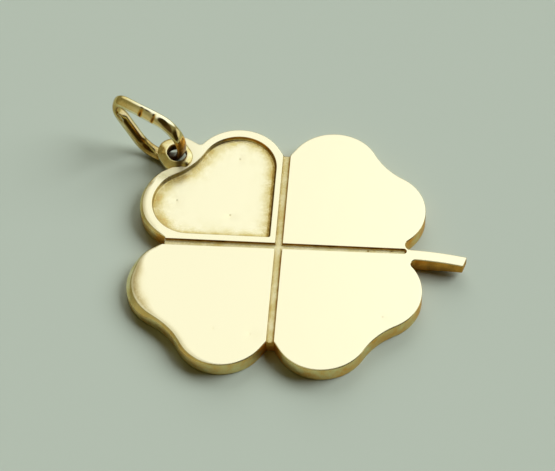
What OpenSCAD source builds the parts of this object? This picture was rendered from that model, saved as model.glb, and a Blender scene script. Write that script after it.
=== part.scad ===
// Four leaf clover pendant, cut from gold plate, lying on its back.
// The middle of the cross is at X = Y = 0 and the flat back at Z = 0.
// +X runs along the stem, +Y away from the front leaves. Sizes are in millimetres.

/* [Clover plate] */
// Reach of a leaf, from the middle of the cross to its outer edge
leaf_reach = 10.05; // [9.6:0.05:10.6]
// Extra sideways reach of the front left leaf, cut a little wider than the rest
wide_leaf_extra = 0.2; // [0:0.05:0.4]
// Radius of the two round lobes of a leaf
lobe_r = 3.27; // [3:0.01:3.6]
// Distance of a lobe's edge from the middle line of the nearer groove
lobe_gap = 0.13; // [0.05:0.01:0.25]
// Radius of the hollow between the two lobes of a leaf
valley_r = 5.25; // [4.5:0.05:6]
// Depth of the notches between leaves, in from the leaves' reach
notch_depth = 2.1; // [1.8:0.05:2.4]
// Thickness of the plate
plate_t = 1.25; // [1.2:0.05:1.6]

/* [Grooves] */
// Width of the grooves that part the leaves
groove_w = 0.52; // [0.4:0.02:0.7]
// Width of the long groove at its closed end
groove_end_w = 0.4; // [0.3:0.02:0.5]
// Depth of the grooves
groove_depth = 0.3; // [0.15:0.05:0.5]
// Distance of the long groove's closed end, in from the leaves' reach
groove_stop = 1.2; // [1.1:0.05:1.6]

/* [Sunk leaf] */
// Depth of the sunk field in the far left leaf
sunk_depth = 0.3; // [0.15:0.05:0.6]
// Rim left between the field and the grooves
sunk_rim_inner = 0.4; // [0.3:0.05:0.6]
// Rim left outside the sideways lobe
sunk_rim_side = 0.86; // [0.6:0.02:1]
// Rim left outside the lobe at the leaf's end
sunk_rim_end = 0.66; // [0.5:0.02:0.9]
// Radius of the field's hollow between its lobes
sunk_valley_r = 4.8; // [4.2:0.1:5.6]

/* [Stem] */
// Width of the stem
stem_w = 0.83; // [0.6:0.01:1]
// Length of the stem beyond the leaves' reach
stem_l = 2.82; // [1.5:0.01:4]
// Radius of the stem's gentle bend
stem_bend_r = 24; // [18:1:40]
// Distance of the bend's highest point, in from the leaves' reach
stem_crest = 1.65; // [1.2:0.05:2]
// Drop of the stem's middle line below the groove's middle line
stem_drop = 0.25; // [0.1:0.01:0.4]
// Slant of the cut at the tip, in degrees
stem_cut = 8; // [0:1:20]
// Thickness of the stem at its tip
stem_tip_t = 0.8; // [0.5:0.05:1.1]
// Radius of the fillet above the stem's root
fillet_far_r = 0.42; // [0.3:0.01:0.5]
// Radius of the fillet below the stem's root
fillet_near_r = 0.35; // [0.25:0.01:0.45]

/* [Eye] */
// Distance of the eye's middle from the bottom of the hollow that it sits in
eye_out = 0.87; // [0.8:0.01:1]
// Turn of the eye from the leaf's middle line, in degrees
eye_turn = 1.6; // [0:0.1:3]
// Width of the eye's metal beside its hole
eye_wall = 0.47; // [0.42:0.01:0.6]
// Distance between the centres of the oblong eye's two round ends
eye_long = 0.64; // [0.4:0.02:0.8]
// Direction in which the eye is oblong, in degrees from the stem's direction
eye_long_turn = 124; // [110:1:135]
// Distance between the centres of the hole's two round ends
hole_long = 0.2; // [0.1:0.02:0.4]
// Shift of the hole towards the stem's side
eye_hole_shift = 0.12; // [0:0.01:0.2]
// Play of the jump ring's wire in the hole, measured along the ring
hole_play = 0.26; // [0.24:0.01:0.4]
// Thickness of the eye
eye_t = 0.65; // [0.45:0.01:0.7]
// Height by which the eye stands above the plate's face
eye_proud = 0.2; // [0.1:0.01:0.3]
// Radius of the rounding on the eye's rims
eye_round = 0.22; // [0.1:0.01:0.25]
// Bearing on the far lobe at which the web starts, in degrees
web_lobe_turn = 149; // [142:1:152]
// Bearing of the web's high shoulder from the eye's outer end, in degrees
web_eye_turn = 62; // [50:1:75]
// Height of the shoulder outside the eye's rim
web_crest = 0.43; // [0.2:0.01:0.5]

/* [Jump ring] */
// Thickness of the flattened wire, measured across the ring
wire_t = 0.47; // [0.4:0.01:0.5]
// Width of the flattened wire, measured through the ring
wire_w = 0.97; // [0.8:0.01:1]
// Radius of the wide bend, on the wire's middle line
wide_r = 2.06; // [2:0.02:2.3]
// Radius of the narrow bend, on the wire's middle line
narrow_r = 0.81; // [0.7:0.01:1.1]
// Distance between the centres of the two bends
bend_gap = 2.95; // [2.6:0.01:3.2]
// Distance of the wire's middle from the hole's axis where it passes through the eye
ring_inset = 0.11; // [0.08:0.01:0.14]
// Bearing in which the ring points, in degrees from the stem's direction
ring_bearing = 154; // [150:1:158]
// Slope at which the ring stands up, in degrees
ring_slope = 30.4; // [28:0.1:40]
// Gap between the wire and the surface that the pendant lies on
ring_lift = 0.01; // [0:0.01:0.05]

/* [Hidden] */
GOLD = [0.88, 0.76, 0.45];
$fn = 96;
// Overshoot of cuts, and how far fillets and hollows start short of their tangent points
cut_over = 1;
fillet_seat = 0.02;
hollow_seat = 0.3;
// How much slimmer than the round ends the straight sides are, and how far they reach into them
side_slim = 0.003;
side_seat = 0.05;
// Plan of the leaves
lobe_side = lobe_r + lobe_gap;
lobe_out = leaf_reach - lobe_r;
notch_reach = leaf_reach - notch_depth;
hollow_out = (lobe_out + lobe_side) / sqrt(2)
    + sqrt(pow(lobe_r + valley_r, 2) - pow(lobe_out - lobe_side, 2) / 2) - valley_r;
// Plan of the stem
stem_reach = leaf_reach + stem_l;
bend_mid = [leaf_reach - stem_crest, -stem_drop - stem_bend_r];
// Slope of the jump ring's wire in the eye, and the hole that it needs
eye_top = plate_t + eye_proud;
wire_r = wire_t / 2;
ring_mid_z = wide_r + wire_r + ring_lift;
wire_lean = asin((ring_mid_z - eye_top + eye_t / 2) / wide_r);
wire_run = wire_t / cos(wire_lean) + eye_t * tan(wire_lean);
eye_hole_d = max(wire_run, wire_w) + hole_play;
eye_d = eye_hole_d + 2 * eye_wall;
eye_mid = (hollow_out + eye_out) * [cos(135 + eye_turn), sin(135 + eye_turn)];
hole_mid = eye_mid + [eye_hole_shift, 0];
ring_reach = wide_r * cos(wire_lean) - ring_inset;

// Point where the edge from p touches a circle, or the nearest one if p is inside; side picks the flank
function touch(p, mid, r, side) =
    let (v = p - mid, turn = atan2(v[1], v[0]) + side * acos(min(1, r / norm(v))))
    mid + r * [cos(turn), sin(turn)];

// Centre at distance ra from a and rb from b; side is 1 or -1 and picks the crossing
function meet(a, ra, b, rb, side) =
    let (
        d = norm(b - a),
        u = (b - a) / d,
        along = (ra * ra - rb * rb + d * d) / (2 * d),
        across = sqrt(ra * ra - along * along)
    )
    a + along * u + side * across * [-u[1], u[0]];

// Leaf in the first quadrant: two lobes, the hollow between them and the straight notch flanks
module leaf_outline(reach_side, reach_end, r, hollow_r, edge, corner) {
    side_mid = [reach_side - r, lobe_side];
    end_mid = [lobe_side, reach_end - r];
    hollow_mid = meet(side_mid, r + hollow_r, end_mid, r + hollow_r, -1);
    difference() {
        union() {
            translate(side_mid) circle(r);
            translate(end_mid) circle(r);
            polygon([
                [edge, edge],
                [corner[0], edge],
                corner,
                touch(corner, side_mid, r, 1),
                side_mid,
                hollow_mid - [hollow_seat, hollow_seat],
                end_mid,
                touch([corner[1], corner[0]], end_mid, r, -1),
                [corner[1], corner[0]],
                [edge, corner[0]]
            ]);
        }
        translate(hollow_mid) circle(hollow_r);
    }
}

// Whole leaf with the plate's own sizes; sx and sy pick the quadrant
module plain_leaf(sx, sy, extra) {
    mirror([sx < 0 ? 1 : 0, 0]) mirror([0, sy < 0 ? 1 : 0])
        leaf_outline(leaf_reach + extra, leaf_reach, lobe_r, valley_r, -groove_w / 2,
            [notch_reach, groove_w / 2]);
}

// Material that rounds the corner between the stem and a lobe
module root_fillet(lobe_mid, stem_edge_r, side, r) {
    mid = meet(lobe_mid, lobe_r + r, bend_mid, stem_edge_r + side * r, 1);
    in_stem = bend_mid + stem_bend_r / norm(mid - bend_mid) * (mid - bend_mid);
    difference() {
        polygon([mid - [fillet_seat, 0], lobe_mid, [notch_reach, 0], in_stem]);
        translate(mid) circle(r);
    }
}

// Stem as a slice of a thin, wide ring, cut off at a slant
module stem_outline() {
    tip = [stem_reach, bend_mid[1] + sqrt(pow(stem_bend_r, 2) - pow(stem_l + stem_crest, 2))];
    out = (tip - bend_mid) / stem_bend_r;
    slant = [out[0] * cos(stem_cut) + out[1] * sin(stem_cut), out[1] * cos(stem_cut) - out[0] * sin(stem_cut)];
    root = [notch_reach - groove_w, tip[1]];
    intersection() {
        difference() {
            translate(bend_mid) circle(stem_bend_r + stem_w / 2, $fn = 720);
            translate(bend_mid) circle(stem_bend_r - stem_w / 2, $fn = 720);
        }
        polygon([
            root + 2 * stem_w * [0, 1],
            tip + 2 * stem_w * slant,
            tip - 2 * stem_w * slant,
            root - 2 * stem_w * [0, 1]
        ]);
    }
}

// Stem with both root fillets; its underside rises towards the tip
module stem() {
    rise = plate_t - stem_tip_t;
    difference() {
        linear_extrude(plate_t) {
            stem_outline();
            root_fillet([lobe_out, lobe_side], stem_bend_r + stem_w / 2, 1, fillet_far_r);
            root_fillet([lobe_out, -lobe_side], stem_bend_r - stem_w / 2, -1, fillet_near_r);
        }
        translate([0, 2 * stem_w, 0]) rotate([90, 0, 0]) linear_extrude(4 * stem_w)
            polygon([[leaf_reach, 0], [stem_reach, rise], [stem_reach + cut_over, rise],
                [stem_reach + cut_over, -cut_over], [leaf_reach, -cut_over]]);
    }
}

// The long groove ends short of the stem, the cross groove runs out through both notches
module grooves() {
    end_r = groove_end_w / 2;
    end_x = leaf_reach - groove_stop - end_r;
    translate([0, 0, plate_t - groove_depth]) linear_extrude(groove_depth + cut_over) {
        polygon([
            [-leaf_reach, -groove_w / 2],
            [end_x, -end_r],
            [end_x, end_r],
            [-leaf_reach, groove_w / 2]
        ]);
        translate([end_x, 0]) circle(end_r);
        square([groove_w, 2 * leaf_reach], center = true);
    }
}

// Heart-shaped field sunk into the far left leaf
module sunk_field() {
    edge = groove_w / 2 + sunk_rim_inner;
    r = lobe_side - edge;
    translate([0, 0, plate_t - sunk_depth]) linear_extrude(sunk_depth + cut_over)
        mirror([1, 0]) leaf_outline(leaf_reach - sunk_rim_side, leaf_reach - sunk_rim_end, r, sunk_valley_r,
            edge, [lobe_side, edge]);
}

// Half section of the lug, with softened rims
module eye_section(r) {
    square([r - eye_round, eye_t]);
    translate([0, eye_round]) square([r, eye_t - 2 * eye_round]);
    for (z = [eye_round, eye_t - eye_round]) translate([r - eye_round, z]) intersection() {
        circle(eye_round, $fn = 32);
        translate([0, -eye_round]) square(2 * eye_round);
    }
}

// Oblong lug: two round ends and the straight sides between them
module eye_body() {
    translate([eye_mid[0], eye_mid[1], eye_top - eye_t]) rotate([0, 0, eye_long_turn]) {
        for (side = [1, -1]) translate([side * eye_long / 2, 0, 0]) rotate_extrude() eye_section(eye_d / 2);
        translate([-eye_long / 2, 0, 0]) rotate([90, 0, 90]) linear_extrude(eye_long)
            for (side = [0, 1]) mirror([side, 0]) eye_section(eye_d / 2 - side_slim);
    }
}

// Oblong hole through the lug and the plate's edge beneath it
module eye_hole() {
    translate([hole_mid[0], hole_mid[1], -cut_over]) rotate([0, 0, eye_long_turn]) {
        for (side = [1, -1]) translate([side * hole_long / 2, 0, 0])
            cylinder(d = eye_hole_d, h = eye_top + 2 * cut_over);
        linear_extrude(eye_top + 2 * cut_over)
            square([hole_long, eye_hole_d - 2 * side_slim], center = true);
    }
}

// Brace between the eye and the lobe at the leaf's end
module eye_web() {
    lobe_mid = [-lobe_side, lobe_out];
    root = lobe_mid + lobe_r * [cos(web_lobe_turn), sin(web_lobe_turn)];
    eye_end = eye_mid + eye_long / 2 * [cos(eye_long_turn), sin(eye_long_turn)];
    crest = eye_end + (eye_d / 2 + web_crest) * [cos(web_eye_turn), sin(web_eye_turn)];
    translate([0, 0, eye_top - eye_t]) linear_extrude(eye_t - eye_proud)
        polygon([eye_mid, touch(crest, eye_end, eye_d / 2 - eye_round, 1), crest, root, lobe_mid,
            [-lobe_side, lobe_side]]);
}

module clover_plate() {
    color(GOLD) difference() {
        union() {
            linear_extrude(plate_t) {
                plain_leaf(1, 1, 0);
                plain_leaf(1, -1, 0);
                plain_leaf(-1, 1, 0);
                plain_leaf(-1, -1, wide_leaf_extra);
            }
            stem();
            eye_web();
            eye_body();
        }
        grooves();
        sunk_field();
        eye_hole();
    }
}

// Section of the flattened wire: its thickness along X, its width along Y
module wire_section(r) {
    end = wire_w / 2 - wire_r;
    for (side = [1, -1]) translate([0, side * end]) circle(r, $fn = 32);
    square([2 * (r - side_slim), 2 * end], center = true);
}

// Closed wire ring in its own XY plane: wide bend at the origin, narrow bend along +X
module wire_loop() {
    lean = asin((wide_r - narrow_r) / bend_gap);
    side_l = bend_gap * cos(lean);
    rotate([0, 0, 90 - lean]) rotate_extrude(angle = 180 + 2 * lean)
        translate([wide_r, 0]) wire_section(wire_r);
    translate([bend_gap, 0, 0]) rotate([0, 0, lean - 90]) rotate_extrude(angle = 180 - 2 * lean)
        translate([narrow_r, 0]) wire_section(wire_r);
    for (side = [1, -1])
        translate([wide_r * sin(lean), side * wide_r * cos(lean), 0])
            rotate([0, 0, -side * lean]) rotate([90, 0, 90]) translate([0, 0, -side_seat])
                linear_extrude(side_l + 2 * side_seat) wire_section(wire_r - side_slim);
}

module jump_ring() {
    turn = [cos(ring_bearing), sin(ring_bearing)];
    mid = hole_mid + ring_reach * turn;
    color(GOLD) translate([mid[0], mid[1], ring_mid_z])
        rotate([0, 0, ring_bearing]) rotate([0, -ring_slope, 0]) rotate([90, 0, 0]) wire_loop();
}

clover_plate();
jump_ring();
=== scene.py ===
"""Dresses the four leaf clover pendant: gold plate, soldered eye and loose jump ring."""

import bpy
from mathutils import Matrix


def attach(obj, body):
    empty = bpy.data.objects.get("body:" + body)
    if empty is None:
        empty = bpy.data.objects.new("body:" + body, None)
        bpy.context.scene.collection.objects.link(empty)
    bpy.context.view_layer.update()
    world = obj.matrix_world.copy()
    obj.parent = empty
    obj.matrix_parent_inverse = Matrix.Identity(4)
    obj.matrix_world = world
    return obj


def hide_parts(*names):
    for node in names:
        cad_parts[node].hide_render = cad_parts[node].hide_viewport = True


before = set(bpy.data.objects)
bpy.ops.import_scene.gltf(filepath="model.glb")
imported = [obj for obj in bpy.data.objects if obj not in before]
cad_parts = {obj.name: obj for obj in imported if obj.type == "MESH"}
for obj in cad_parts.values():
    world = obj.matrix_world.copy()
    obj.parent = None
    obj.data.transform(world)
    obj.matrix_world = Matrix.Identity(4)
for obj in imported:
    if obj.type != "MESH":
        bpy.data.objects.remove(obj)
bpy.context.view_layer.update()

import logging
import math
from dataclasses import dataclass, field
from enum import Enum

import bpy
import numpy as np
from mathutils import Matrix, Vector
from mathutils.geometry import delaunay_2d_cdt

MM = 0.001
TINY = 1e-9
MERGE_GAP = 1e-5
BACK_MERGE_GAP = 1e-7
ORIGIN = (0.0, 0.0)
FAR_LEFT_TURN = 135.0
NOISE_MID = 0.5
# The age and soil layers hold real tarnish and dirt, and also painted shade: on the far and right
# walls of the cuts, in the notches, at the stem, in the eye's hole and under the eye, on the left
# bevels and on the wire in and beside the eye.
LAYERS = ("age", "matte", "dull", "soil")
LOG = logging.getLogger("clover")

Span = tuple[float, float]
Knots = tuple[Span, ...]
Rgb = tuple[float, float, float]
Rgba = tuple[float, float, float, float]
Face = tuple[int, ...]
Array = np.ndarray
Socket = bpy.types.NodeSocket


class Part(Enum):
    """Stretches of the plate's outline, by how its edge is worn."""

    PLAIN = 0
    WEB = 1
    FAR_LEFT_SIDE = 2
    NEAR_LEFT_SIDE = 3
    NEAR_LEFT_END = 4


class Slot(Enum):
    """Material slots of the record."""

    GOLD = "gold"


def cos_sin(*turns: float) -> list[Span]:
    """Returns the cosine and sine of each turn, given in degrees."""
    return [(math.cos(math.radians(turn)), math.sin(math.radians(turn))) for turn in turns]


def polar(mid: Array, r: float, turn: float) -> Array:
    """Returns the point at distance r from mid, in the direction turn in degrees."""
    return np.asarray(mid, float) + r * np.array(cos_sin(turn)[0])


def bearing(start: Array, end: Array) -> float:
    """Returns the direction from start to end, in degrees."""
    return math.degrees(math.atan2(end[1] - start[1], end[0] - start[0]))


def arc(mid: Array, r: float, start: float, end: float, step: float) -> Array:
    """Makes points along an arc, both ends included.

    Args:
        mid: centre of the arc.
        r: its radius.
        start: direction of its first point; the arc turns left if end is larger.
        end: direction of its last point.
        step: longest distance between two points.

    Returns:
        The points, one a row.
    """
    count = max(2, math.ceil(abs(math.radians(end - start)) * r / step) + 1)
    turns = np.radians(np.linspace(start, end, count))
    return np.asarray(mid, float) + r * np.c_[np.cos(turns), np.sin(turns)]


def turned_by(start: float, end: float, sense: int) -> float:
    """Adds whole turns to a direction.

    Args:
        start: direction to start from, in degrees.
        end: direction to reach.
        sense: 1 for a turn to the left, -1 for one to the right.

    Returns:
        The direction to reach, so that going there from start turns in that sense.
    """
    while sense * (end - start) < 0:
        end += sense * 360
    while sense * (end - start) > 360:
        end -= sense * 360
    return end


def sweep(
    mid: Array, r: float, first: Array, last: Array, sense: int, step: float
) -> Array:
    """Makes points along an arc between the directions of two points.

    Args:
        mid: centre of the arc.
        r: its radius.
        first: point towards which it starts.
        last: point towards which it ends.
        sense: 1 for a turn to the left, -1 for one to the right.
        step: longest distance between two points.

    Returns:
        The points, one a row.
    """
    start = bearing(mid, first)
    return arc(mid, r, start, turned_by(start, bearing(mid, last), sense), step)


def straight(start: Array, end: Array, step: float) -> Array:
    """Makes points along a line, both ends included.

    Args:
        start: first point.
        end: last point.
        step: longest distance between two points.

    Returns:
        The points, one a row.
    """
    start, end = np.asarray(start, float), np.asarray(end, float)
    count = max(2, math.ceil(np.linalg.norm(end - start) / step) + 1)
    return start + np.linspace(0, 1, count)[:, None] * (end - start)


def touch(p: Array, mid: Array, r: float, side: int) -> Array:
    """Finds where a straight edge from a point touches a circle.

    Args:
        p: the point.
        mid: centre of the circle.
        r: its radius.
        side: flank of the circle, 1 or -1.

    Returns:
        The point on the circle.
    """
    v = np.asarray(p, float) - mid
    turn = math.atan2(v[1], v[0]) + side * math.acos(min(1.0, r / np.linalg.norm(v)))
    return polar(mid, r, math.degrees(turn))


def meet(a: Array, ra: float, b: Array, rb: float, side: int) -> Array:
    """Finds where two circles cross.

    Args:
        a: centre of the first circle.
        ra: its radius.
        b: centre of the second circle.
        rb: its radius.
        side: which crossing, 1 or -1.

    Returns:
        The point.
    """
    a, b = np.asarray(a, float), np.asarray(b, float)
    d = np.linalg.norm(b - a)
    u = (b - a) / d
    along = (ra * ra - rb * rb + d * d) / (2 * d)
    return a + along * u + side * math.sqrt(ra * ra - along * along) * np.array([-u[1], u[0]])


def soften(path: Array, at: Array, reach: float, count: int = 7) -> Array:
    """Rounds the corner of an open path that lies nearest to a point.

    Args:
        path: points of the path.
        at: place of the corner.
        reach: length taken from each side of the corner.
        count: number of points in the round stretch.

    Returns:
        The path with the corner replaced by a parabola.
    """
    k = int(np.argmin(np.linalg.norm(path - at, axis=1)))
    far = np.linalg.norm(path - path[k], axis=1) > reach
    before = max((i for i in range(k) if far[i]), default=0)
    after = min((i for i in range(k + 1, len(path)) if far[i]), default=len(path) - 1)
    ends = []
    for i, step in ((before, 1), (after, -1)):
        outer = path[i] - path[k]
        way = outer if abs(i - k) == 1 else path[i + step] - path[k]
        ends.append(path[k] + way * min(1.0, reach / max(np.linalg.norm(outer), TINY)))
    t = np.linspace(0, 1, count)[:, None]
    bend = (1 - t) ** 2 * ends[0] + 2 * t * (1 - t) * path[k] + t**2 * ends[1]
    return np.vstack([path[: before + 1], bend, path[after:]])


def clean(path: Array, least: float = 1e-4) -> Array:
    """Returns the path without points that repeat the one before."""
    keep = np.r_[True, np.linalg.norm(np.diff(path, axis=0), axis=1) > least]
    return path[keep]


def outward(loop: Array) -> Array:
    """Returns the unit outward direction at each point of a loop that turns left."""
    along = np.roll(loop, -1, axis=0) - np.roll(loop, 1, axis=0)
    return np.c_[along[:, 1], -along[:, 0]] / np.linalg.norm(along, axis=1)[:, None]


def gap_to(points: Array, spots: list[Array]) -> Array:
    """Returns the distance of each point from the nearest spot."""
    return np.min([np.linalg.norm(points - spot, axis=1) for spot in spots], axis=0)


@dataclass
class Nearest:
    """Nearest places of a closed polyline to many points."""

    gap: Array
    away: Array
    share: Array
    segment: Array
    left: Array


def nearest_on(
    points: Array, line: Array, batch: int = 1500, on_line: float = 1e-5
) -> Nearest:
    """Finds for each point the nearest place on a closed polyline.

    Args:
        points: points, one a row.
        line: corners of the closed polyline.
        batch: how many points are worked on together.
        on_line: distance below which a point counts as lying on the line.

    Returns:
        The distance, the unit vector from the line to the point, the place on the line as a
        share of a segment and that segment, and whether the point lies on the line's left.
    """
    ab = np.roll(line, -1, axis=0) - line
    length2 = np.maximum((ab**2).sum(1), TINY**2)
    found = []
    for first in range(0, len(points), batch):
        ap = points[first : first + batch, None, :] - line[None]
        t = np.clip((ap * ab[None]).sum(2) / length2, 0, 1)
        miss = ap - t[:, :, None] * ab[None]
        d2 = (miss**2).sum(2)
        k = d2.argmin(1)
        rows = np.arange(len(ap))
        cross = ab[k, 0] * ap[rows, k, 1] - ab[k, 1] * ap[rows, k, 0]
        found.append((np.sqrt(d2[rows, k]), miss[rows, k], t[rows, k], k, cross > 0))
    gap, away, share, segment, left = (np.concatenate(column) for column in zip(*found))
    normal = np.c_[-ab[:, 1], ab[:, 0]] / np.sqrt(length2)[:, None]
    flat = normal[segment] * np.where(left, 1, -1)[:, None]
    unit = np.where((gap < on_line)[:, None], flat, away / np.maximum(gap, TINY)[:, None])
    return Nearest(gap, unit, share, segment, left)


def inside(points: Array, loop: Array, batch: int = 4000) -> Array:
    """Finds which points lie inside a closed loop.

    Args:
        points: points, one a row.
        loop: corners of the loop.
        batch: how many points are worked on together.

    Returns:
        True for each point inside.
    """
    a, b = loop, np.roll(loop, -1, axis=0)
    rise = np.where(b[:, 1] == a[:, 1], TINY, b[:, 1] - a[:, 1])
    found = []
    for first in range(0, len(points), batch):
        x, y = points[first : first + batch, :1], points[first : first + batch, 1:]
        spans = (a[None, :, 1] > y) != (b[None, :, 1] > y)
        cross_x = a[None, :, 0] + (y - a[None, :, 1]) * ((b[:, 0] - a[:, 0]) / rise)[None]
        found.append((spans & (x < cross_x)).sum(1) % 2 == 1)
    return np.concatenate(found)


def smooth_step(x: Array, low: float, high: float) -> Array:
    """Returns a smooth rise from 0 at low to 1 at high."""
    t = np.clip((x - low) / (high - low), 0, 1)
    return t * t * (3 - 2 * t)


def looped(grid: Array, hub: Array, span: int) -> tuple[list[Face], Array]:
    """Joins rings of points to a body without ends.

    Args:
        grid: points, by ring and place on the ring; both run back into themselves.
        hub: points that the surface faces away from.
        span: how many places round a ring the normals look to each side.

    Returns:
        The faces, and the normal at each point of the grid.
    """
    step_on = np.roll(grid, -1, axis=0) - np.roll(grid, 1, axis=0)
    step_round = np.roll(grid, -span, axis=1) - np.roll(grid, span, axis=1)
    normals = np.cross(step_round, step_on)
    normals *= np.sign(((grid - hub) * normals).sum(2, keepdims=True))
    here = np.arange(grid.shape[0] * grid.shape[1]).reshape(grid.shape[:2])
    on, beside = np.roll(here, -1, axis=0), np.roll(here, -1, axis=1)
    quads = np.stack([here, on, np.roll(on, -1, axis=1), beside], -1).reshape(-1, 4)
    return [tuple(quad) for quad in quads.tolist()], normals


def worn_state(
    age: Array, soil: Array, matte: float, dull: float, dull_from: float = 0.5
) -> Array:
    """Returns the state of the metal from its age: matte in proportion, dull above an age."""
    return np.c_[age, matte * age, dull * np.clip(age - dull_from, 0, 1), soil]


@dataclass(frozen=True)
class CloverPlan:
    """Plan of the pendant in millimetres; the cross is the middle and the stem runs along X."""

    leaf_reach: float = 10.05
    wide_leaf_extra: float = 0.2
    lobe_r: float = 3.27
    lobe_gap: float = 0.13
    valley_r: float = 5.25
    notch_depth: float = 2.1
    groove_w: float = 0.52
    groove_end_w: float = 0.4
    groove_stop: float = 1.2
    sunk_rim_inner: float = 0.4
    sunk_rim_side: float = 0.86
    sunk_rim_end: float = 0.66
    sunk_valley_r: float = 4.8
    sunk_tip_r: float = 0.2
    sunk_join: float = 1.2
    stem_w: float = 0.83
    stem_l: float = 2.82
    stem_bend_r: float = 24.0
    stem_crest: float = 1.65
    stem_drop: float = 0.25
    stem_cut: float = 8.0
    stem_corner: float = 0.08
    stem_step: float = 0.15
    fillet_far_r: float = 0.42
    fillet_near_r: float = 0.35
    fillet_step: float = 0.05
    eye_out: float = 0.87
    eye_turn: float = 1.6
    eye_r: float = 1.114
    eye_long: float = 0.64
    eye_long_turn: float = 124.0
    web_lobe_turn: float = 149.0
    web_lead_turn: float = 12.0
    web_gap_turn: float = 0.5
    web_gap: float = 0.02
    web_eye_turn: float = 62.0
    web_crest: float = 0.43
    web_seat: float = 0.22
    web_hide_turn: float = 95.0
    web_hide_r: float = 0.93
    web_root_round: float = 0.38
    web_crest_round: float = 0.3
    web_step: float = 0.06
    step: float = 0.09
    hidden_step: float = 0.1
    least_step: float = 0.001

    @property
    def lobe_side(self) -> float:
        """Distance of a lobe's centre from the nearer groove's middle line."""
        return self.lobe_r + self.lobe_gap

    @property
    def lobe_out(self) -> float:
        """Distance of a lobe's centre from the cross, along the leaf."""
        return self.leaf_reach - self.lobe_r

    @property
    def notch_reach(self) -> float:
        """Distance of the notches from the cross."""
        return self.leaf_reach - self.notch_depth

    @property
    def notches(self) -> list[Array]:
        """Both corners of the three open notches."""
        reach, half = self.notch_reach, self.groove_w / 2
        ends = [((-reach, y), (y, reach), (y, -reach)) for y in (half, -half)]
        return [np.array(spot) for row in ends for spot in row]

    @property
    def groove_end_r(self) -> float:
        """Radius of the long groove's closed end."""
        return self.groove_end_w / 2

    @property
    def groove_end_x(self) -> float:
        """Distance of the centre of that end from the cross."""
        return self.leaf_reach - self.groove_stop - self.groove_end_r

    @property
    def hollow_out(self) -> float:
        """Distance of the hollow's bottom from the cross."""
        spread = (self.lobe_out - self.lobe_side) ** 2 / 2
        lobes = (self.lobe_out + self.lobe_side) / math.sqrt(2)
        return lobes + math.sqrt((self.lobe_r + self.valley_r) ** 2 - spread) - self.valley_r

    @property
    def eye_mid(self) -> Array:
        """Middle of the eye."""
        return polar(ORIGIN, self.hollow_out + self.eye_out, FAR_LEFT_TURN + self.eye_turn)

    def eye_end(self, side: int) -> Array:
        """Returns the centre of one of the oblong eye's round ends; side 1 is the outer one."""
        return polar(self.eye_mid, side * self.eye_long / 2, self.eye_long_turn)

    def leaf_path(
        self, side_reach: float, end_reach: float, r: float, hollow_r: float, corner: Span
    ) -> list[Array]:
        """Makes a leaf's outline in the first quadrant, from its corner beside X to that beside Y.

        Args:
            side_reach: reach of the lobe beside X.
            end_reach: reach of the lobe beside Y.
            r: radius of the lobes.
            hollow_r: radius of the hollow between them.
            corner: corner beside X; the one beside Y mirrors it.

        Returns:
            The stretches: side lobe with its flank, hollow, end lobe with its flank.
        """
        side_mid = np.array([side_reach - r, self.lobe_side])
        end_mid = np.array([self.lobe_side, end_reach - r])
        hollow_mid = meet(side_mid, r + hollow_r, end_mid, r + hollow_r, -1)
        first, last = np.array(corner), np.array(corner[::-1])
        side = sweep(side_mid, r, touch(first, side_mid, r, 1), hollow_mid, 1, self.step)
        hollow = sweep(hollow_mid, hollow_r, side_mid, end_mid, -1, self.step)
        end = sweep(end_mid, r, hollow_mid, touch(last, end_mid, r, -1), 1, self.step)
        side = np.vstack([straight(first, side[0], self.step)[:-1], side])
        end = np.vstack([end, straight(end[-1], last, self.step)[1:]])
        return [side, hollow, end]

    def full_leaf(self, extra: float = 0.0) -> list[Array]:
        """Returns the outline of a whole leaf; extra widens its lobe beside X."""
        side, corner = self.leaf_reach + extra, (self.notch_reach, self.groove_w / 2)
        return self.leaf_path(side, self.leaf_reach, self.lobe_r, self.valley_r, corner)

    def stem_path(self) -> Array:
        """Makes the stem's edge with both root fillets.

        Returns:
            The points, from the near lobe round the tip to the far lobe.
        """
        half = self.stem_w / 2
        mid = np.array([self.leaf_reach - self.stem_crest, -self.stem_drop - self.stem_bend_r])
        sides = []
        for side, r in ((-1, self.fillet_near_r), (1, self.fillet_far_r)):
            lobe = np.array([self.lobe_out, side * self.lobe_side])
            edge_r = self.stem_bend_r + side * half
            at = meet(lobe, self.lobe_r + r, mid, edge_r + side * r, 1)
            start = bearing(at, lobe)
            stop = turned_by(start, bearing(at, mid) if side > 0 else bearing(mid, at), side)
            sides.append((edge_r, arc(at, r, start, stop, self.fillet_step), bearing(mid, at)))
        (near_r, near_root, near_turn), (far_r, far_root, far_turn) = sides
        tip_y = mid[1] + math.sqrt(self.stem_bend_r**2 - (self.stem_l + self.stem_crest) ** 2)
        tip = np.array([self.leaf_reach + self.stem_l, tip_y])
        cut_l = half / math.cos(math.radians(self.stem_cut))
        cut = polar(ORIGIN, cut_l, bearing(mid, tip) - self.stem_cut)
        near = arc(mid, near_r, near_turn, bearing(mid, tip - cut), self.stem_step)
        far = arc(mid, far_r, bearing(mid, tip + cut), far_turn, self.stem_step)
        end = straight(tip - cut, tip + cut, self.hidden_step)
        path = clean(np.vstack([near_root, near, end, far, far_root[::-1]]))
        for corner in (tip - cut, tip + cut):
            path = soften(path, corner, self.stem_corner)
        return clean(path)

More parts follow.
